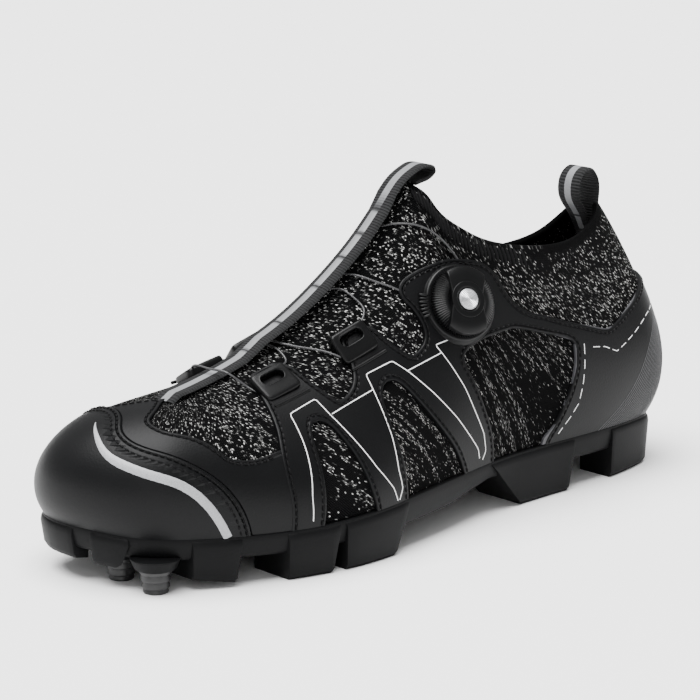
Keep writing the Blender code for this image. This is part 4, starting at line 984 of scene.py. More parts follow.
def stitchTree():
    # a rounded stitch on every point, turned by the point's own angles
    tree, start, end = geometryTree("seamStitches", (
        ("Length", "NodeSocketFloat", 0.0020), ("Thickness", "NodeSocketFloat", 0.0006),
        ("Seed", "NodeSocketInt", 4), ("Thread", "NodeSocketMaterial", None)))
    ball = addNode(tree, "GeometryNodeMeshUVSphere", Segments=8, Rings=5, Radius=0.5)
    size = addNode(tree, "ShaderNodeCombineXYZ", X=start.outputs["Length"],
                   Y=start.outputs["Thickness"], Z=start.outputs["Thickness"])
    shaped = addNode(tree, "GeometryNodeTransform", Geometry=ball.outputs["Mesh"],
                     Scale=size.outputs["Vector"])
    turn = addNode(tree, "GeometryNodeInputNamedAttribute", {"data_type": "FLOAT_VECTOR"}, Name="turn")
    angles = addNode(tree, "FunctionNodeEulerToRotation", Euler=turn.outputs["Attribute"])
    spread = addNode(tree, "FunctionNodeRandomValue", {"data_type": "FLOAT"},
                     Seed=start.outputs["Seed"])
    spread.inputs[2].default_value, spread.inputs[3].default_value = 0.9, 1.1
    placed = addNode(tree, "GeometryNodeInstanceOnPoints", Points=start.outputs["Geometry"],
                     Instance=shaped.outputs["Geometry"], Rotation=angles.outputs["Rotation"],
                     Scale=spread.outputs[1])
    real = addNode(tree, "GeometryNodeRealizeInstances", Geometry=placed.outputs["Instances"])
    coated = addNode(tree, "GeometryNodeSetMaterial", Geometry=real.outputs["Geometry"],
                     Material=start.outputs["Thread"])
    smooth = addNode(tree, "GeometryNodeSetShadeSmooth", Geometry=coated.outputs["Geometry"])
    tree.links.new(smooth.outputs["Geometry"], end.inputs[0])
    return tree


stitches = {"pitch": 0.0026, "length": 0.0021, "thickness": 0.00085, "inset": 0.0016, "lift": 0.00005}
seamTree = stitchTree()


def setInputs(modifier, tree, values):
    for item in tree.interface.items_tree:
        if item.item_type == "SOCKET" and item.in_out == "INPUT" and item.name in values:
            modifier[item.identifier] = values[item.name]


def stitchPiece(name, lines):
    rows = []
    for points, normals in lines:
        at, tangent, facing = evenly(points, normals, stitches["pitch"])
        rows += [(p + z * stitches["lift"], x, z) for p, x, z in zip(at, tangent, facing)]
    return capsules(name, rows, stitches["length"], stitches["thickness"], "thread", "panel")


def capsules(name, rows, length, thickness, finish, slot):
    # one long rounded body on each point, laid along its direction on its normal
    spots, turns = [], []
    for p, x, z in rows:
        spots.append(p)
        turns.append(tuple(Matrix((x, np.cross(z, x), z)).transposed().to_euler()))
    mesh = bpy.data.meshes.new(name)
    mesh.from_pydata([tuple(p) for p in spots], [], [])
    turn = mesh.attributes.new("turn", "FLOAT_VECTOR", "POINT")
    turn.data.foreach_set("vector", np.array(turns, dtype=np.float32).ravel())
    body = linked(name, mesh)
    modifier = body.modifiers.new("stitches", "NODES")
    modifier.node_group = seamTree
    setInputs(modifier, seamTree, {"Length": length, "Thickness": thickness, "Seed": 4,
                                   "Thread": finishes[finish]})
    return finished(body, slot)


sideLook = {"raise": 0.0002, "ridgeGap": 0.0098, "ridgeRear": 0.60, "front": 2.4,
            "seamAbove": 0.03}
seamLines = []


def makeSidePanels():
    for label, side, top, low, high in (("lateral", -1.0, lateralTop, sideLook["front"], heelAt + 0.01),
                                        ("medial", 1.0, medialTop, heelAt,
                                         loopSpan - sideLook["front"])):
        block = sheet.stretch(low, high)
        field = sidePanelField(block[:, :, :3], top)
        across = (block[:, :, 1] - toFrame[1]) * side
        near = block[:, :, 0] < toFrame[0] + sideLook["ridgeRear"] * shoe["soleLength"]
        field = np.where(near, np.minimum(field, across - sideLook["ridgeGap"]), field)
        body = panelPiece(label + "SidePanel", block, field, sideLook["raise"])
        finished(body, "panel", label + "_side_panel")
        lines = isoLines(block, field, stitches["inset"], sideLook["raise"])
        seamLines.extend([line for line in lines if line[0][:, 2].max() > sideLook["seamAbove"]])


def toeFields():
    block = sheet.stretch(-5.0, 5.0)
    u, h = block[:, :, 8], block[:, :, 9]
    cap = edgeField(block[:, :, :3], u, h, capEdge)
    vamp = edgeField(block[:, :, :3], u, h, vampEdge)
    along, rise = sideView(block[:, :, :3])
    front = np.interp(rise, [r for _, r in sideFront], [a for a, _ in sideFront])
    under = (front + vampLook["underSide"] - along) * shoe["soleLength"]
    return block, cap, vamp, under


makeSidePanels()
toeBlock, capField, vampField, underField = toeFields()
capBody = panelPiece("toeCap", toeBlock, capField, capLook["raise"], capLook["edge"])
inside = np.array([v.value for v in capBody.data.attributes["edge"].data])
band = capBody.data.attributes.new("band", "FLOAT", "POINT")
inside = np.clip((capLook["band"] - inside) / capLook["bandFade"], 0.0, 1.0)
band.data.foreach_set("value", inside.astype(np.float32))
finished(capBody, "panel", "toe_cap")
vampShape = np.minimum(np.minimum(vampField, -capField + vampLook["underCap"]), underField)
finished(panelPiece("vampPanel", toeBlock, vampShape, vampLook["raise"]), "panel", "vamp_panel")
for inset in capLook["rows"]:
    seamLines += isoLines(toeBlock, capField, inset, capLook["raise"])
bareVamp = np.where((capField > 0.0) | (underField < vampLook["sideCover"]), np.nan, vampField)
seamLines += isoLines(toeBlock, bareVamp, stitches["inset"], vampLook["raise"])
stitchPiece("panelStitches", seamLines)
print("panels and seams", len(seamLines))


# treads, bosses and studs: shares as in the rows above
soleLook = {"lip": 0.0004, "round": 0.0006, "proud": 0.0009, "root": 1.10, "groove": 0.004,
            "bevel": 0.0004, "bossTop": 0.0092, "bossFoot": 0.0074, "studHeight": 0.0085,
            "studRadius": 0.0058, "tipRadius": 0.0046, "rings": 3}
lugRows = {
    "tip": (-0.030, -0.030, 0.022, 0.030, 0.30), "shoulder": (0.088, 0.092, 0.142, 0.150, 0.22),
    "ballFront": (0.206, 0.210, 0.272, 0.284, 0.22), "ballRear": (0.290, 0.293, 0.380, 0.410, 0.22),
    "heelBreast": (0.592, 0.668, 0.765, 0.775, 0.24), "heelBack": (0.856, 0.858, 1.030, 1.030, 0.11),
}
studPlaces = {"Lateral": (0.0565, -0.243), "Medial": (0.0585, -0.028)}


def stackedBody(name, layers, columns):
    # outlines one over another: each layer has an offset and a height along the foot
    u = np.arange(loopSpan * columns) / columns
    count = len(u)
    top = (len(layers) - 1) * count
    vertices, faces = [], []
    for offset, level in layers:
        plan = footLine(u) + outward(u) * offset
        vertices += [np.array([x, y, z]) + toFrame for (x, y), z in zip(plan, level(plan[:, 0]))]
    for base in range(0, top, count):
        faces += ringFaces(base, base + count, count)
    faces += loopCap(0, count) + loopCap(top, count)
    return meshPiece(name, vertices, faces, "rubber", flat=40.0)


def cutTo(body, other, operation):
    step = body.modifiers.new(other.name, "BOOLEAN")
    step.operation, step.object, step.solver = operation, other, "EXACT"
    other.hide_render = True


def bevelled(body, width, segments=2, angle=35.0):
    step = body.modifiers.new("softEdges", "BEVEL")
    step.width, step.segments, step.limit_method = width, segments, "ANGLE"
    step.angle_limit = math.radians(angle)


def turnedPiece(name, profile, sides, finish, place=None, wave=None, flat=35.0):
    # body of revolution about Z, closed at both poles; wave moves the radius by angle and row
    inner = [p for p in profile if p[0] > 0.0]
    low, high = profile[0][1], profile[-1][1]
    vertices, faces = [(0.0, 0.0, low), (0.0, 0.0, high)], []
    for k in range(sides):
        angle = 2.0 * math.pi * k / sides
        for row, (radius, z) in enumerate(inner):
            r = radius + (wave(angle, row) if wave else 0.0)
            vertices.append((r * math.cos(angle), r * math.sin(angle), z))
    count = len(inner)
    for k in range(sides):
        a, b = 2 + k * count, 2 + (k + 1) % sides * count
        faces.append((0, b, a))
        faces.append((1, a + count - 1, b + count - 1))
        faces += [(a + row, b + row, b + row + 1, a + row + 1) for row in range(count - 1)]
    body = meshPiece(name, vertices, faces, finish, flat=flat)
    if place is not None:
        body.matrix_world = place
    return body


def roundedProfile(points, radius, steps=4):
    # profile with its inner corners turned over a small radius
    result = [points[0]]
    for k in range(1, len(points) - 1):
        corner = np.array(points[k])
        ends = [np.array(points[k + side]) - corner for side in (-1, 1)]
        size = [np.linalg.norm(e) for e in ends]
        reach = min(radius, 0.45 * min(size))
        first, second = (corner + e / n * reach for e, n in zip(ends, size))
        for t in np.linspace(0.0, 1.0, steps + 1):
            spot = (1 - t) ** 2 * first + 2 * t * (1 - t) * corner + t * t * second
            result.append(tuple(spot))
    return result + [points[-1]]


def lugBlock(row, side):
    topFront, footFront, footRear, topRear, reach = row
    high = shoe["stackHeight"] * soleLook["root"]
    shape = ((topFront, high), (footFront, 0.0), (footRear, 0.0), (topRear, high))
    middle = (footFront + footRear) / 2.0
    edge = np.interp(middle, last["along"], last["lateral" if side < 0 else "medial"])
    inner = max((edge - reach) * shoe["ballWidth"], soleLook["groove"]) * side
    vertices = [np.array([along * shoe["soleLength"], y, z]) + toFrame
                for y in (inner, shoe["ballWidth"] * side) for along, z in shape]
    faces = [[0, 1, 2, 3], [7, 6, 5, 4]]
    faces += [[k, (k + 1) % 4, (k + 1) % 4 + 4, k + 4] for k in range(4)]
    return meshPiece("lugBlock", vertices, faces, "rubber")


def makeSole():
    lip, turn, proud = soleLook["lip"], soleLook["round"], soleLook["proud"]

    def level(name, shift=0.0):
        return lambda x: soleLevel(name, x) + shift

    def between(share, shift=0.0):
        return lambda x: (soleLevel("bed", x) * (1 - share) + soleLevel("band", x) * share) + shift

    plate = stackedBody("solePlate", (
        (lip - 0.0020, level("bed", -0.0001)), (lip - turn, level("bed")),
        (lip - 0.3 * turn, level("bed", -0.2 * turn)), (lip, level("bed", -turn)),
        (lip + 0.0001, between(0.3)), (lip - 0.0004, between(0.6)),
        (lip - 0.0008, level("band", 3 * turn)), (lip - 0.0012, level("band", 1.5 * turn)),
        (lip - 0.0020, level("band", 0.4 * turn)), (lip - 0.0032, level("band"))), columns=8)
    bodies = [plate]
    for label, row in lugRows.items():
        for side in (-1, 1):
            block = lugBlock(row, side)
            lug = stackedBody("lug" + label + str(side), (
                (lip + 0.0001, level("bed", -1.5 * turn)), (lip + proud * 0.7, level("bed", -3 * turn)),
                (lip + proud, level("bed", -6 * turn)),
                (lip + proud - 0.0010, level("tread", 3 * turn)),
                (lip + proud - 0.0022, level("tread"))), columns=5)
            cutTo(lug, block, "INTERSECT")
            bevelled(lug, soleLook["bevel"])
            bodies.append(lug)
            cut = meshNow(lug)
            lug.modifiers.clear()
            lug.data = cut
            cut.set_sharp_from_angle(angle=math.radians(30.0))
            bpy.data.objects.remove(block)
    for along, across in studPlaces.values():
        x = along * shoe["soleLength"]
        top = float(soleLevel("band", np.array([x]))[0]) + 0.0012
        profile = roundedProfile(((0.0, soleLook["studHeight"] + 0.0003),
                                  (soleLook["bossFoot"], soleLook["studHeight"] + 0.0003),
                                  (soleLook["bossTop"], top), (0.0, top)), 0.0006)
        place = Matrix.Translation((x + toFrame[0], across * shoe["ballWidth"] + toFrame[1], 0.0))
        bodies.append(turnedPiece("boss", profile, 40, "rubber", place))
    return finished(joinedPieces("treadedSole", bodies), "rubber", "outsole")


def makeStuds():
    for label, (along, across) in studPlaces.items():
        tip, turn = soleLook["tipRadius"], soleLook["round"]
        profile = [(0.0, 0.0), (tip - turn, 0.0), (tip - 0.3 * turn, 0.3 * turn), (tip, turn)]
        for k in range(soleLook["rings"]):
            z = turn + (soleLook["studHeight"] - turn) * (k + 0.55) / soleLook["rings"]
            radius = tip + (soleLook["studRadius"] - tip) * (k + 1) / soleLook["rings"]
            profile += [(radius - 0.0007, z - 0.0003), (radius - 0.0001, z), (radius, z + 0.0002),
                        (radius, z + 0.0007)]
        profile += [(soleLook["studRadius"], soleLook["studHeight"]), (0.0, soleLook["studHeight"])]
        place = Matrix.Translation((along * shoe["soleLength"] + toFrame[0],
                                    across * shoe["ballWidth"] + toFrame[1], 0.0))
        body = turnedPiece("toeStud" + label, profile, 40, "stud", place)
        finished(body, "stud", "toe_stud_" + label.lower())


footbed = {"inset": 0.0042, "front": 0.035, "rear": 0.245, "frontAcross": 0.002, "under": 0.0003,
           "shares": (1.0, 0.97, 0.9, 0.75, 0.5, 0.25, 0.0),
           "lifts": (0.0030, 0.0042, 0.0040, 0.0033, 0.0030, 0.0029, 0.0029)}


def makeFootbed():
    # dished bed: rings of the outline drawn in towards the middle line
    u = np.arange(loopSpan * 4) / 4.0
    edge = footLine(u) - outward(u) * footbed["inset"]
    ends = footbed["front"], footbed["rear"]
    middleX = np.clip(edge[:, 0], *ends)
    middle = np.column_stack([middleX, np.interp(middleX, ends, (footbed["frontAcross"], 0.0))])
    vertices, faces = [], []
    rings = list(zip(footbed["shares"], footbed["lifts"]))
    for share, lift in rings + [(1.0, footbed["under"]), (0.0, footbed["under"])]:
        plan = middle + (edge - middle) * share
        z = soleLevel("bed", plan[:, 0]) + lift
        vertices += [np.array([x, y, h]) + toFrame for (x, y), h in zip(plan, z)]
    count = len(u)
    top = len(rings) * count
    for base in range(0, top - count, count):
        faces += ringFaces(base, base + count, count)
    faces += ringFaces(0, top, count) + ringFaces(top, top + count, count)
    faces += loopCap(top - count, count) + loopCap(top + count, count)
    body = meshPiece("footbed", vertices, faces, "foam", flat=60.0)
    return finished(body, "foam", "insole")


makeSole()
makeStuds()
makeFootbed()
print("sole, studs and footbed")

skinTree = BVHTree.FromPolygons(
    [tuple(p) for p in sheet.points.reshape(-1, 3)],
    [(a * sheet.rows + r, b * sheet.rows + r, b * sheet.rows + r + 1, a * sheet.rows + r + 1)
     for a in range(sheet.columns) for b in ((a + 1) % sheet.columns,)
     for r in range(sheet.rows - 1)])


def sideHit(along, rise, toward):
    # skin point and outward normal seen from one side, by shares
    start = Vector((along * shoe["soleLength"], toward * shoe["ballWidth"],
                    shoe["stackHeight"] + rise * shoe["upperHeight"])) + Vector(toFrame)
    point, normal, _, _ = skinTree.ray_cast(start, Vector((0.0, -toward, 0.0)))
    if normal.y * toward < 0.0:
        normal = -normal
    return point, normal


def seatFrame(place, toward, slope, facing=None):
    point, z = sideHit(*place, toward)
    if facing:
        z = Vector(facing).normalized()
    axis = Vector((1.0, 0.0, slope))
    x = (axis - z * axis.dot(z)).normalized()
    turn = Matrix((x, z.cross(x), z)).transposed().to_4x4()
    turn.translation = point
    return turn


ribLook = {"from": 9.30, "to": 13.75, "line": 0.94, "foot": 0.6, "pitch": 0.0021, "top": 0.0004,
           "length": 0.0078, "thickness": 0.0016, "sunk": 0.0002}


def makeCollarRibs():
    # knitted ribs hanging from the collar's rim, front and sides, both sides of the strip
    rows = []
    for side in (0, 1):
        u = np.linspace(ribLook["from"], ribLook["to"], 240)
        u = loopSpan - u if side else u
        rim = skinAt(u, np.full(len(u), ribLook["line"]))
        run = runAlong(rim)
        for at in np.interp(np.arange(0.0, run[-1], ribLook["pitch"]), run, u):
            h = np.linspace(1.0, ribLook["foot"], 60)
            column = skinAt(np.full(len(h), at), h)
            depth = runAlong(column)
            ends = [np.array([np.interp(d, depth, column[:, k]) for k in range(3)])
                    for d in (ribLook["top"], ribLook["top"] + ribLook["length"])]
            middle = (ends[0] + ends[1]) / 2.0
            _, normal = skinSpot(middle)
            down = (ends[1] - ends[0]) / np.linalg.norm(ends[1] - ends[0])
            normal = normal - down * (normal @ down)
            normal /= np.linalg.norm(normal)
            rows.append((middle + normal * (upper["outer"] - ribLook["sunk"]), down, normal))
    return capsules("collarRibs", rows, ribLook["length"], ribLook["thickness"], "thread", "knit")


def skinSpot(spot):
    # nearest skin point with its outward normal
    point, normal, _, _ = skinTree.find_nearest(Vector(spot))
    middle = Vector((point.x, toFrame[1], point.z))
    if normal.dot(Vector((0.0, (point - middle).y, abs(point.y) * 0.2))) < 0.0:
        normal = -normal
    return np.array(point), np.array(normal)


makeCollarRibs()
print("collar ribs")

guideLook = {"front": -0.0115, "rear": 0.0052, "low": -0.0062, "top": 0.0062, "corner": 0.0022,
             "high": 0.0034, "lowHigh": 0.0016, "holeAlong": -0.0034, "holeUp": 0.0016,
             "holeLength": 0.0102, "holeWidth": 0.0043, "slope": 0.28, "sunk": 0.0030,
             "ledgeDown": 0.0088, "ledge": 0.0013}
guidePlaces = {"lateral_front": (0.280, 0.425), "lateral_rear": (0.410, 0.520),
               "medial_front": (0.245, 0.430), "medial_middle": (0.3375, 0.465),
               "medial_rear": (0.4476, 0.555)}
dialPlace = (0.570, 0.592)
dialAxis = (-0.19, -0.90, 0.40)


def slotPlan(length, width, along, up, steps=10):
    # oblong hole, walked from its lower rear corner round by the top
    radius = width / 2.0
    run = length / 2.0 - radius
    plan = []
    for end in (1, -1):
        for angle in np.linspace(-math.pi / 2, math.pi / 2, steps):
            plan.append((along + end * (run + radius * math.cos(angle)),
                         up + end * radius * math.sin(angle)))
    return plan


def platePlan(inset, steps=5):
    # rounded plate outline with as many points as the hole, from the same corner
    radius = max(guideLook["corner"] - inset, 0.0006)
    rear, front = guideLook["rear"] - inset - radius, guideLook["front"] + inset + radius
    low, top = guideLook["low"] + inset + radius, guideLook["top"] - inset - radius
    plan = []
    for quarter, (x, y) in enumerate(((rear, low), (rear, top), (front, top), (front, low))):
        for angle in np.linspace(-math.pi / 2, 0.0, steps) + quarter * math.pi / 2:
            plan.append((x + radius * math.cos(angle), y + radius * math.sin(angle)))
    return plan


def plateHeight(y, share):
    # the plate slopes down to the panel along its lower edge
    top = np.interp(y, (guideLook["low"], guideLook["top"]), (guideLook["lowHigh"], guideLook["high"]))
    return float(top) * share


def makeGuide(label, place):
    toward = -1.0 if label.startswith("lateral") else 1.0
    frameAt = seatFrame(place, toward, guideLook["slope"])
    flip = 1.0 if toward < 0.0 else -1.0
    vertices = []
    for inset, share in ((0.0, None), (0.0, 0.35), (0.0001, 0.70), (0.0005, 0.92), (0.0011, 1.0)):
        vertices += [(x, y, -guideLook["sunk"] if share is None else plateHeight(y, share))
                     for x, y in platePlan(inset)]
    for grow, share in ((0.0014, 1.0), (0.0008, 1.06), (0.0003, 1.0), (0.0, 0.8), (0.0, None)):
        plan = slotPlan(guideLook["holeLength"] + grow, guideLook["holeWidth"] + grow,
                        guideLook["holeAlong"], guideLook["holeUp"])
        vertices += [(x, y, -guideLook["sunk"] if share is None else plateHeight(y, share))
                     for x, y in plan]
    vertices = [(x, y * flip, z) for x, y, z in vertices]
    count = len(platePlan(0.0))
    layers = len(vertices) // count
    faces = []
    for layer in range(layers):
        faces += ringFaces(layer * count, (layer + 1) % layers * count, count)
    plate = meshPiece("plate", vertices, faces, "plastic", flat=50.0)
    plate.matrix_world = frameAt
    step = plate.modifiers.new("fine", "SUBSURF")
    step.levels = step.render_levels = 1
    bodies = [plate, ledgeBar(frameAt, flip)]
    finished(joinedPieces("laceGuide_" + label, bodies), "plastic", "lace_guide_" + label)
    return frameAt, flip


def ledgeBar(frameAt, flip):
    # low ridge under the plate, where it is sewn to the finger panel
    spots = []
    for x in np.linspace(guideLook["front"] + 0.0004, guideLook["rear"] + 0.0012, 14):
        spot = frameAt @ Vector((float(x), -guideLook["ledgeDown"] * flip, 0.0))
        point, normal = skinSpot(spot)
        spots.append(point + normal * 0.0001)
    return tubeMesh("ledge", np.array(spots), guideLook["ledge"] / 2.0, 8, "plastic")


def tubeMesh(name, points, radius, sides, finish):
    # round tube with closed ends, its sections carried along without twist
    points = np.asarray(points)
    tangent = np.gradient(points, axis=0)
    tangent /= np.linalg.norm(tangent, axis=1)[:, None]
    across = np.cross(tangent[0], (0.3, 0.2, 1.0))
    vertices, faces = [points[0] - tangent[0] * radius * 0.5], []
    for p, t in zip(points, tangent):
        across = across - t * (across @ t)
        across /= np.linalg.norm(across)
        other = np.cross(t, across)
        for k in range(sides):
            angle = 2.0 * math.pi * k / sides
            vertices.append(p + (across * math.cos(angle) + other * math.sin(angle)) * radius)
    vertices.append(points[-1] + tangent[-1] * radius * 0.5)
    for ring in range(len(points) - 1):
        faces += ringFaces(1 + ring * sides, 1 + (ring + 1) * sides, sides)
    end = 1 + (len(points) - 1) * sides
    faces += [(0, 1 + (k + 1) % sides, 1 + k) for k in range(sides)]
    faces += [(len(vertices) - 1, end + k, end + (k + 1) % sides) for k in range(sides)]
    return meshPiece(name, vertices, faces, finish, flat=60.0)


guideSeats = {label: makeGuide(label, place) for label, place in guidePlaces.items()}

dialLook = {"radius": 0.0136, "height": 0.0054, "capRadius": 0.0070, "seatRadius": 0.0152,
            "seatHeight": 0.0030, "foot": 0.009, "gap": 0.0003, "ribs": 84, "ribDepth": 0.0006,
            "turn": -0.15, "capRise": 0.0008, "discRadius": 0.0040, "barTurn": 1.45,
            "barHalf": 0.0082, "barWaist": 0.0066, "catch": 7, "catchAt": 3.15,
            "catchStep": 0.085, "catchOut": 0.0006, "catchUp": 0.0024, "catchLean": 0.25,
            "catchLength": 0.0044, "catchThick": 0.0011}


def makeDial():
    place = seatFrame(dialPlace, -1.0, dialLook["turn"], dialAxis)
    top, foot = dialLook["seatHeight"], dialLook["foot"]
    seat = turnedPiece("dialSeat", roundedProfile((
        (0.0, -foot), (dialLook["seatRadius"] + 0.0010, -foot),
        (dialLook["seatRadius"] + 0.0010, 0.0002), (dialLook["seatRadius"], top * 0.6),
        (dialLook["seatRadius"] - 0.0006, top), (0.0, top)), 0.0006), 96, "plastic", place)
    finished(seat, "plastic", "dial_seat")
    base, radius, high = top + dialLook["gap"], dialLook["radius"], dialLook["height"]
    profile = [(0.0, base), (radius - 0.0004, base), (radius, base + 0.0004),
               (radius, base + high * 0.26), (radius - 0.0004, base + high * 0.40),
               (radius - 0.0014, base + high * 0.52), (radius * 0.72, base + high * 0.80),
               (radius * 0.62, base + high * 0.82), (radius * 0.58, base + high * 0.74),
               (0.0, base + high * 0.74)]
    sides = dialLook["ribs"] * 6
    depth = (0.2, 1.0, 1.0, 1.0, 1.0, 0.8, 0.4, 0.0)

    def ribWave(angle, row):
        ridge = math.cos(angle * dialLook["ribs"])
        return -dialLook["ribDepth"] * depth[row] * (0.5 - 0.5 * ridge)

    ring = turnedPiece("dialRing", profile, sides, "plastic", place, ribWave, flat=50.0)
    bar = dialBar(base, high)
    bar.matrix_world = place @ Matrix.Rotation(dialLook["barTurn"], 4, "Z")
    finished(joinedPieces("dialKnob", [ring, bar]), "plastic", "dial_knob")
    fan, turn, up = [], place.to_3x3(), Vector((0.0, 0.0, 1.0))
    lean = dialLook["catchLean"]
    for k in range(dialLook["catch"]):
        angle = dialLook["catchAt"] + (k - (dialLook["catch"] - 1) / 2.0) * dialLook["catchStep"]
        spoke = Vector((math.cos(angle), math.sin(angle), 0.0))
        spot = spoke * (dialLook["seatRadius"] + dialLook["catchOut"]) + up * dialLook["catchUp"]
        fan.append((np.array(place @ spot), np.array(turn @ (spoke - up * lean).normalized()),
                    np.array(turn @ (up + spoke * lean).normalized())))
    capsules("dialCatch", fan, dialLook["catchLength"], dialLook["catchThick"], "plastic", "plastic")
    high = base + high
    cap = turnedPiece("dialHub", roundedProfile((
        (0.0, high - 0.0008), (dialLook["capRadius"], high - 0.0008),
        (dialLook["capRadius"], high + 0.0002), (dialLook["discRadius"] + 0.0009, high + 0.0002),
        (dialLook["discRadius"] + 0.0003, high - 0.0004), (0.0, high - 0.0004)), 0.0003), 96,
        "plastic", place)
    finished(cap, "plastic")
    rise, discRadius = dialLook["capRise"], dialLook["discRadius"]
    disc = turnedPiece("dialDisc", roundedProfile((
        (0.0, high - 0.0006), (discRadius, high - 0.0006), (discRadius, high + rise * 0.7),
        (discRadius - 0.0005, high + rise), (0.0, high + rise)), 0.0002), 96, "disc")
    mesh = disc.data
    layer = mesh.uv_layers.new(name="disc")
    for loop in mesh.loops:
        spot = mesh.vertices[loop.vertex_index].co
        layer.data[loop.index].uv = (math.hypot(spot.x, spot.y) / mm, spot.z / mm)
    disc.matrix_world = place
    finished(disc, "silver", "dial_cap")


def dialBar(base, high):
    # smooth grip bar across the knob: its ends on the rim, its sides drawn in a little
    radius, half = dialLook["radius"], dialLook["barHalf"]
    reach = math.asin(half / radius)
    waist = dialLook["barWaist"] / radius
    plan = []
    for end in (0.0, math.pi):
        plan += [(math.cos(end + angle), math.sin(end + angle))
                 for angle in np.linspace(-reach, reach, 13)]
        plan.append((0.0, waist if end == 0.0 else -waist))
    count = len(plan)
    rings = ((radius - 0.0001, 0.0, 0.40), (radius - 0.0001, 0.0, 0.64),
             (radius - 0.0006, 0.0001, 0.80), (radius - 0.0016, 0.0003, 0.90),
             (radius * 0.66, 0.0006, 0.99))
    vertices = []
    for r, inset, share in rings:
        vertices += [(x * r, y * radius - math.copysign(inset, y), base + high * share)
                     for x, y in plan]
    faces = []
    for layer in range(len(rings) - 1):
        faces += ringFaces(layer * count, (layer + 1) * count, count)
    faces += [list(range(count))[::-1], [(len(rings) - 1) * count + k for k in range(count)]]
    body = meshPiece("dialBar", vertices, faces, "plastic", flat=30.0)
    bevelled(body, 0.0003, 2, 40.0)
    return body


makeDial()
print("guides and dial")

strip = {"tuck": 0.136, "width": 0.0110, "thick": 0.0015, "front": 0.152, "leave": 0.513, "stiff": 0.5,
         "lift": 0.00045, "high": 0.0028, "rise": (0.262, 0.300), "reach": 0.03, "steps": 90, "across": 13,
         "tacks": (0.276, 0.333, 0.397, 0.446, 0.480, 0.509), "tackLength": 1.5}
stripLoop = ((0.527, 0.972), (0.545, 1.017), (0.566, 1.046), (0.584, 1.055), (0.595, 1.043),
             (0.588, 1.028), (0.575, 1.019), (0.562, 1.012))
heelLoop = ((0.9290, 0.642), (0.9240, 0.698), (0.9180, 0.745), (0.9160, 0.783), (0.9172, 0.825),
            (0.9190, 0.868), (0.9155, 0.917), (0.9020, 0.947), (0.8890, 0.931), (0.8825, 0.890),
            (0.8845, 0.847), (0.8970, 0.800), (0.9085, 0.750), (0.9170, 0.698), (0.9220, 0.642))
heelLook = {"tacks": (57.5, 65.0), "width": 0.0120, "footWidth": 0.0098,
            "narrowing": (0.095, 0.107)}


def ridgeAt(x):
    # height and normal of the instep ridge at distance x behind the toe tip
    u = np.linspace(0.0, shoe["tongueRow"], 200)
    line = topLine(u)
    z = np.interp(x, line[:, 0], line[:, 2])
    slope = np.interp(x, line[:, 0], np.gradient(line[:, 2], line[:, 0]))
    return z, Vector((-slope, 0.0, 1.0)).normalized()


def onKnit(x, y, lift, stiff=None):
    # point over the knit near the ridge; a stiff band sinks less at its sides
    z, normal = ridgeAt(x)
    start = Vector((x, y, z)) + Vector(toFrame) + normal * strip["reach"]
    point, facing, _, distance = knitTree.ray_cast(start, -normal)
    if facing.dot(normal) < 0.0:
        facing = -facing
    if stiff is None:
        return point + facing * lift, facing
    return point + normal * (lift + stiff * (distance - strip["reach"])), normal


def sidePath(table, count):
    # even stations along a smooth curve of side view shares, in the frame
    plan = np.array(table) * (shoe["soleLength"], shoe["upperHeight"])
    run = runAlong(plan)
    at = np.linspace(0.0, run[-1], count)
    x, z = (naturalSpline(run, plan[:, k], at) for k in (0, 1))
    return np.column_stack([x + toFrame[0], z + shoe["stackHeight"]])


def tapePiece(name, sections, width, tacks, node):
    # band with rounded edges through cross rows of points and normals
    across = len(sections[0][0])
    vertices, uv, tack = [], [], []
    run = 0.0
    previous = None
    half = strip["thick"] / 2.0
    for points, normal in sections:
        middle = points[across // 2]
        run += 0.0 if previous is None else (middle - previous).length / mm
        previous = middle
        ring = []
        for level in (0, 1):
            order = range(across) if level == 0 else range(across - 1, -1, -1)
            for k in order:
                share = 2.0 * k / (across - 1) - 1.0
                thin = math.sqrt(max(1.0 - max(0.0, (abs(share) - 0.88) / 0.12) ** 2, 0.0))
                height = half + (half * thin * (1.0 if level else -1.0))
                ring.append((points[k] + normal * height, share * width / 2.0 / mm))
        for spot, side in ring:
            vertices.append(spot)
            uv.append((side, run))
            tack.append(max((1.0 if abs(run - t) < strip["tackLength"] / 2.0 else 0.0)
                            for t in tacks) if tacks else 0.0)
        tack[-2 * across:-across] = [1.0] * across
    ringSize = 2 * across
    faces = []
    for k in range(len(sections) - 1):
        faces += ringFaces(k * ringSize, (k + 1) * ringSize, ringSize)
    faces.append(list(range(ringSize))[::-1])
    faces.append([(len(sections) - 1) * ringSize + m for m in range(ringSize)])
    body = meshPiece(name, vertices, faces, "webbing", "tape", uv, {"tack": tack}, flat=60.0)
    return finished(body, "webbing", node)


def bandRows(path, width, side):
    tangent = np.gradient(path, axis=0)
    tangent /= np.linalg.norm(tangent, axis=1)[:, None]
    ys = np.linspace(-0.5, 0.5, strip["across"])
    widths = np.broadcast_to(width, len(path))
    return [([Vector((x, y * w + toFrame[1], z)) for y in ys], Vector((-tz * side, 0.0, tx * side)))
            for (x, z), (tx, tz), w in zip(path, tangent, widths)]


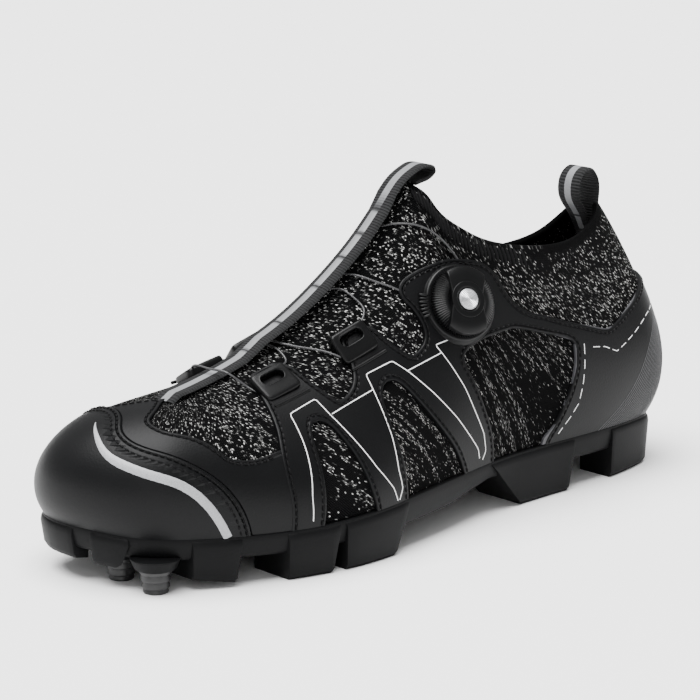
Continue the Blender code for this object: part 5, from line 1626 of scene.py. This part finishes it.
def makeStrip():
    ys = np.linspace(-strip["width"] / 2.0, strip["width"] / 2.0, strip["across"])
    sections = []
    for along in np.linspace(strip["tuck"], strip["leave"], strip["steps"]):
        lift = np.interp(along, (strip["tuck"], strip["front"], *strip["rise"]),
                         (-strip["thick"], strip["lift"], strip["lift"], strip["high"]))
        rows = [onKnit(along * shoe["soleLength"], y, lift, strip["stiff"]) for y in ys]
        sections.append(([p for p, _ in rows], rows[0][1]))
    sections += bandRows(sidePath(stripLoop, 40), strip["width"], 1.0)
    middle = [(s[0][strip["across"] // 2] - Vector(toFrame)).x / shoe["soleLength"] for s in sections]
    run = np.concatenate([[0.0], np.cumsum([
        (b[0][strip["across"] // 2] - a[0][strip["across"] // 2]).length / mm
        for a, b in zip(sections[:-1], sections[1:])])])
    tacks = [float(np.interp(t, middle[:strip["steps"]], run[:strip["steps"]]))
             for t in strip["tacks"]]
    tapePiece("frontPullStrip", sections, strip["width"], tacks, "front_pull_strip")


makeStrip()
heelPath = sidePath(heelLoop, 90)
heelWidths = np.interp(heelPath[:, 1], heelLook["narrowing"],
                       (heelLook["footWidth"], heelLook["width"]))
tapePiece("heelPullLoop", bandRows(heelPath, heelWidths, -1.0), heelLook["width"], heelLook["tacks"],
          "heel_pull_loop")
print("tapes")

# low and high are the lace's hidden ends in a guide's own frame
lace = {"radius": 0.00042, "lift": 0.0009, "over": 0.0040, "underStrip": 0.11, "sides": 8, "steps": 80,
        "low": (-0.0106, -0.0034, 0.0010), "high": (0.0050, 0.0052, 0.0008)}
# lateral part of each crossing over the skin: loop position and height, the dial or guide end first
laceSkin = {
    "dial": ((11.20, 0.725), (10.80, 0.784), (10.20, 0.775), (8.75, 0.775), (7.95, 0.880)),
    "rear": ((7.22, 0.640), (7.00, 0.709), (6.80, 0.778), (6.52, 0.920)),
    "middle_rear": ((6.12, 0.695), (6.24, 0.758), (6.25, 0.832), (6.20, 0.915)),
    "middle_front": ((5.32, 0.690), (5.14, 0.752), (5.00, 0.815), (4.82, 0.930)),
    "front": ((4.58, 0.775), (4.61, 0.825), (4.68, 0.877), (4.70, 0.925)),
}
# medial part over the instep: shares of soleLength and of ballWidth
laceOver = {
    "front": ((0.300, 0.056), (0.2735, 0.140)), "middle_front": ((0.316, 0.056), (0.3100, 0.140)),
    "middle_rear": ((0.392, 0.056), (0.3655, 0.145)), "rear": ((0.432, 0.056), (0.4200, 0.140)),
    "dial": ((0.4900, 0.085), (0.4760, 0.150)),
}
laceToe = ((0.2460, -0.200), (0.2320, -0.140), (0.2200, -0.090), (0.2150, 0.0), (0.2130, 0.090),
           (0.2115, 0.145))


def eased(points, count):
    spots = np.array([tuple(p) for p in points])
    run = runAlong(spots)
    at = np.linspace(0.0, run[-1], count)
    return np.column_stack([naturalSpline(run, spots[:, k], at) for k in range(3)])


def lacePath(label):
    # lateral end first: over the skin, under the strip, down the medial side
    points = []
    if label == "toe":
        for x, y in laceToe:
            place = (x * shoe["soleLength"], y * shoe["ballWidth"])
            under = abs(y) < lace["underStrip"]
            lift, stiff = (lace["over"], strip["stiff"]) if under else (lace["lift"], None)
            points.append(onKnit(*place, lift, stiff)[0])
        return points
    knots = np.array(laceSkin[label])
    for spot in skinAt(knots[:, 0], knots[:, 1]):
        points.append(onKnitNear(spot))
    for x, y in laceOver[label]:
        points.append(onKnit(x * shoe["soleLength"], y * shoe["ballWidth"], lace["lift"])[0])
    return points


def onKnitNear(spot):
    point = knitTree.find_nearest(Vector(spot))[0]
    return point + (Vector(spot) - point).normalized() * lace["lift"]


def makeLaces():
    low, high = lace["low"], lace["high"]
    joins = {"toe": (("lateral_front", low), ("medial_front", low)),
             "front": (("lateral_front", high), ("medial_front", high)),
             "middle_front": (("lateral_rear", low), ("medial_middle", low)),
             "middle_rear": (("lateral_rear", high), ("medial_middle", high)),
             "rear": (None, ("medial_rear", low)), "dial": (None, ("medial_rear", high))}

    def within(label, spot):
        place, flip = guideSeats[label]
        return place @ Vector((spot[0], spot[1] * flip, spot[2]))

    for label, (lateral, medial) in joins.items():
        points = lacePath(label)
        if lateral:
            points = [within(*lateral)] + points[1:]
        points.append(within(*medial))
        body = tubeMesh("lace_" + label, eased(points, lace["steps"]), lace["radius"], lace["sides"],
                        "cable")
        finished(body, "cable", "lace_crossing_" + label)


makeLaces()
print("laces")


def roundedLine(points, radius, steps=6):
    # straight runs joined by small arcs
    points = [np.array(p, dtype=float) for p in points]
    result = [points[0]]
    for before, corner, after in zip(points[:-2], points[1:-1], points[2:]):
        reach = [min(radius, 0.45 * np.linalg.norm(p - corner)) for p in (before, after)]
        first = corner + (before - corner) / np.linalg.norm(before - corner) * reach[0]
        second = corner + (after - corner) / np.linalg.norm(after - corner) * reach[1]
        for t in np.linspace(0.0, 1.0, steps):
            result.append((1 - t) ** 2 * first + 2 * t * (1 - t) * corner + t * t * second)
    return np.array(result + [points[-1]])


def transfer(name, points, normals, widths, finish, low, high):
    # thin strip laid on the skin, closed, low and high over the skin
    tangent = np.gradient(points, axis=0)
    side = np.cross(normals, tangent)
    side /= np.linalg.norm(side, axis=1)[:, None]
    vertices, faces = [], []
    for p, n, s, w in zip(points, normals, side, np.broadcast_to(widths, len(points))):
        for across, level in ((-1, low), (-0.8, high), (0, high), (0.8, high), (1, low)):
            vertices.append(p + s * across * w / 2.0 + n * level)
    for k in range(len(points) - 1):
        faces += ringFaces(5 * k, 5 * k + 5, 5)
    faces += [tuple(range(5)), tuple(5 * (len(points) - 1) + m for m in range(5))]
    return meshPiece(name, vertices, faces, finish, flat=50.0)


def sideLine(table, radius, step=0.0008):
    # points and normals on the lateral skin for a side view line in mm from the toe tip
    plan = roundedLine(np.array(table) * mm, radius)
    run = runAlong(plan)
    at = np.linspace(0.0, run[-1], max(int(run[-1] / step), 4))
    points, normals = [], []
    for x, z in zip(np.interp(at, run, plan[:, 0]), np.interp(at, run, plan[:, 1])):
        rise = (z - shoe["stackHeight"]) / shoe["upperHeight"]
        hit, normal = sideHit(x / shoe["soleLength"], rise, -1.0)
        points.append(tuple(hit))
        normals.append(tuple(normal))
    return np.array(points), np.array(normals)


lineLook = {"width": 0.00045, "low": 0.00005, "high": 0.00028, "corner": 0.0008, "dash": 0.0042,
            "gap": 0.0017, "dashWidth": 0.00036, "hatchWidth": 0.00022}
fingerLines = (
    ((68, 21), (68, 30), (71, 46), (72.5, 56), (86, 59), (88, 54), (92, 47), (99, 35), (106, 26),
     (108, 21)),
    ((89, 54), (111, 59)),
    ((109, 21), (111, 25), (110, 32), (111, 43), (111, 51), (111, 59), (111, 64), (124, 67),
     (129, 63), (138, 54), (148, 43), (159, 29), (160, 25)),
    ((129, 63), (147, 67)),
    ((152, 71), (145, 70), (147, 67), (150, 62), (155, 53), (159, 43), (163, 34), (164, 27),
     (162, 24)),
)
hatch = {"count": 17, "steps": 60,
         "first": ((14.25, 0.0), (14.83, 0.096), (15.46, 0.230), (16.22, 0.398), (16.75, 0.50)),
         "last": ((15.90, 0.0), (16.30, 0.07), (16.58, 0.17), (16.80, 0.29), (17.10, 0.42))}
heelDashes = (((222, 59), (221, 50), (220, 44), (218, 36), (214, 31), (208, 25)),
              ((227, 57), (234, 56), (241, 53), (247, 55), (255, 58), (266, 63), (277, 66)))


def skinLine(knots, count):
    # points and outward normals along a smooth curve through loop positions and heights
    knots = np.array(knots)
    run = runAlong(knots)
    at = np.linspace(0.0, run[-1], count)
    u, h = (naturalSpline(run, knots[:, k], at) for k in (0, 1))
    points = skinAt(np.mod(u, loopSpan), np.clip(h, 0.0, 1.0))
    normals = np.array([tuple(skinTree.find_nearest(Vector(p))[1]) for p in points])
    away = outward(np.mod(u, loopSpan))
    flip = np.sign(normals[:, 0] * away[:, 0] + normals[:, 1] * away[:, 1] + 0.5 * normals[:, 2])
    return points, normals * flip[:, None]


def heelHatch():
    # fine lines over the lower heel, closing up towards its back
    lines = []
    for k in range(hatch["count"]):
        share = k / (hatch["count"] - 1.0)
        lines.append([(u0 + (u1 - u0) * share, h0 + (h1 - h0) * share)
                      for (u0, h0), (u1, h1) in zip(hatch["first"], hatch["last"])])
    return lines


def makeLines():
    bodies = []
    for line in fingerLines:
        points, normals = sideLine(line, lineLook["corner"])
        bodies.append(transfer("line", points, normals, lineLook["width"], "white",
                               lineLook["low"], lineLook["high"]))
    for line in heelDashes:
        points, normals = sideLine(line, lineLook["corner"], 0.0003)
        run = runAlong(points)
        period = lineLook["dash"] + lineLook["gap"]
        for start in np.arange(0.0, run[-1] - lineLook["dash"] / 2.0, period):
            inside = (run >= start) & (run <= start + lineLook["dash"])
            bodies.append(transfer("dash", points[inside], normals[inside], lineLook["dashWidth"],
                                   "white", 0.0, lineLook["high"]))
    for line in heelHatch():
        points, normals = skinLine(line, hatch["steps"])
        bodies.append(transfer("hatch", points, normals, lineLook["hatchWidth"], "hatch",
                               0.0, lineLook["high"]))
    return finished(joinedPieces("whiteLines", bodies), "panel")


toeStripe = {"width": 0.0034, "taper": 0.35, "steps": 60, "sunk": 0.0001, "proud": 0.00012,
             "knots": ((-0.16, 0.678), (0.22, 0.595), (0.56, 0.505), (0.91, 0.450), (1.34, 0.401),
                       (1.79, 0.336), (2.09, 0.244), (2.29, 0.127), (2.43, 0.0))}


def makeToeStripe():
    points, normals = skinLine(toeStripe["knots"], toeStripe["steps"])
    share = np.linspace(0.0, 1.0, len(points))
    widths = toeStripe["width"] * np.clip(share / toeStripe["taper"], 0.03, 1.0) ** 0.6
    body = transfer("toeStripe", points, normals, widths, "stripe",
                    capLook["raise"] - toeStripe["sunk"], capLook["raise"] + toeStripe["proud"])
    return finished(body, "silver")


makeLines()
makeToeStripe()
print("transfers")


studio = {"floor": (0.93, 0.93, 0.93), "reach": 6.0, "sky": 0.50,
          "lights": (("overhead", (-0.28, 0.08, 1.5), 55.0, 10.5),
                     ("lowFront", (-1.1, -1.2, 0.7), 40.0, 0.5))}


def makeStage():
    work = bmesh.new()
    bmesh.ops.create_grid(work, x_segments=2, y_segments=2, size=studio["reach"])
    mesh = bpy.data.meshes.new("studioFloor")
    work.to_mesh(mesh)
    work.free()
    floor = linked("studioFloor", mesh)
    mesh.materials.append(Finish("paleFloor", studio["floor"], 0.9).material)
    world = bpy.data.worlds.new("studio")
    world.use_nodes = True
    sky = world.node_tree.nodes["Background"].inputs
    sky["Color"].default_value = (1.0, 1.0, 1.0, 1.0)
    sky["Strength"].default_value = studio["sky"]
    bpy.context.scene.world = world


def softLight(name, spot, spread, power):
    # sun as broad as an overcast sky, so the floor is lit evenly far behind the shoe
    data = bpy.data.lights.new(name, "SUN")
    data.angle, data.energy = math.radians(spread), power
    light = linked(name, data)
    light.location = spot
    light.rotation_euler = (Vector((0.0, 0.0, 0.05)) - Vector(spot)).to_track_quat("-Z", "Y").to_euler()


camera = {"turn": 42.0, "climb": 13.5, "distance": 1.056, "focal": 2761.0, "pixels": 700.0,
          "right": -0.0069, "up": 0.0061, "target": (0.1382, 0.0, 0.0576)}


def makeCamera():
    turn, climb = math.radians(camera["turn"]), math.radians(camera["climb"])
    back = Vector((-math.sin(turn) * math.cos(climb), -math.cos(turn) * math.cos(climb),
                   math.sin(climb)))
    right = Vector((math.cos(turn), -math.sin(turn), 0.0))
    over = back.cross(right)
    spot = (Vector(camera["target"]) + Vector(toFrame) + back * camera["distance"]
            + right * camera["right"] + over * camera["up"])
    data = bpy.data.cameras.new("photoAngle")
    data.sensor_width = 36.0
    data.lens = camera["focal"] / camera["pixels"] * data.sensor_width
    eye = linked("photoAngle", data)
    eye.matrix_world = Matrix.Translation(spot) @ Matrix((right, over, back)).transposed().to_4x4()
    bpy.context.scene.camera = eye


makeStage()
for light in studio["lights"]:
    softLight(*light)
makeCamera()
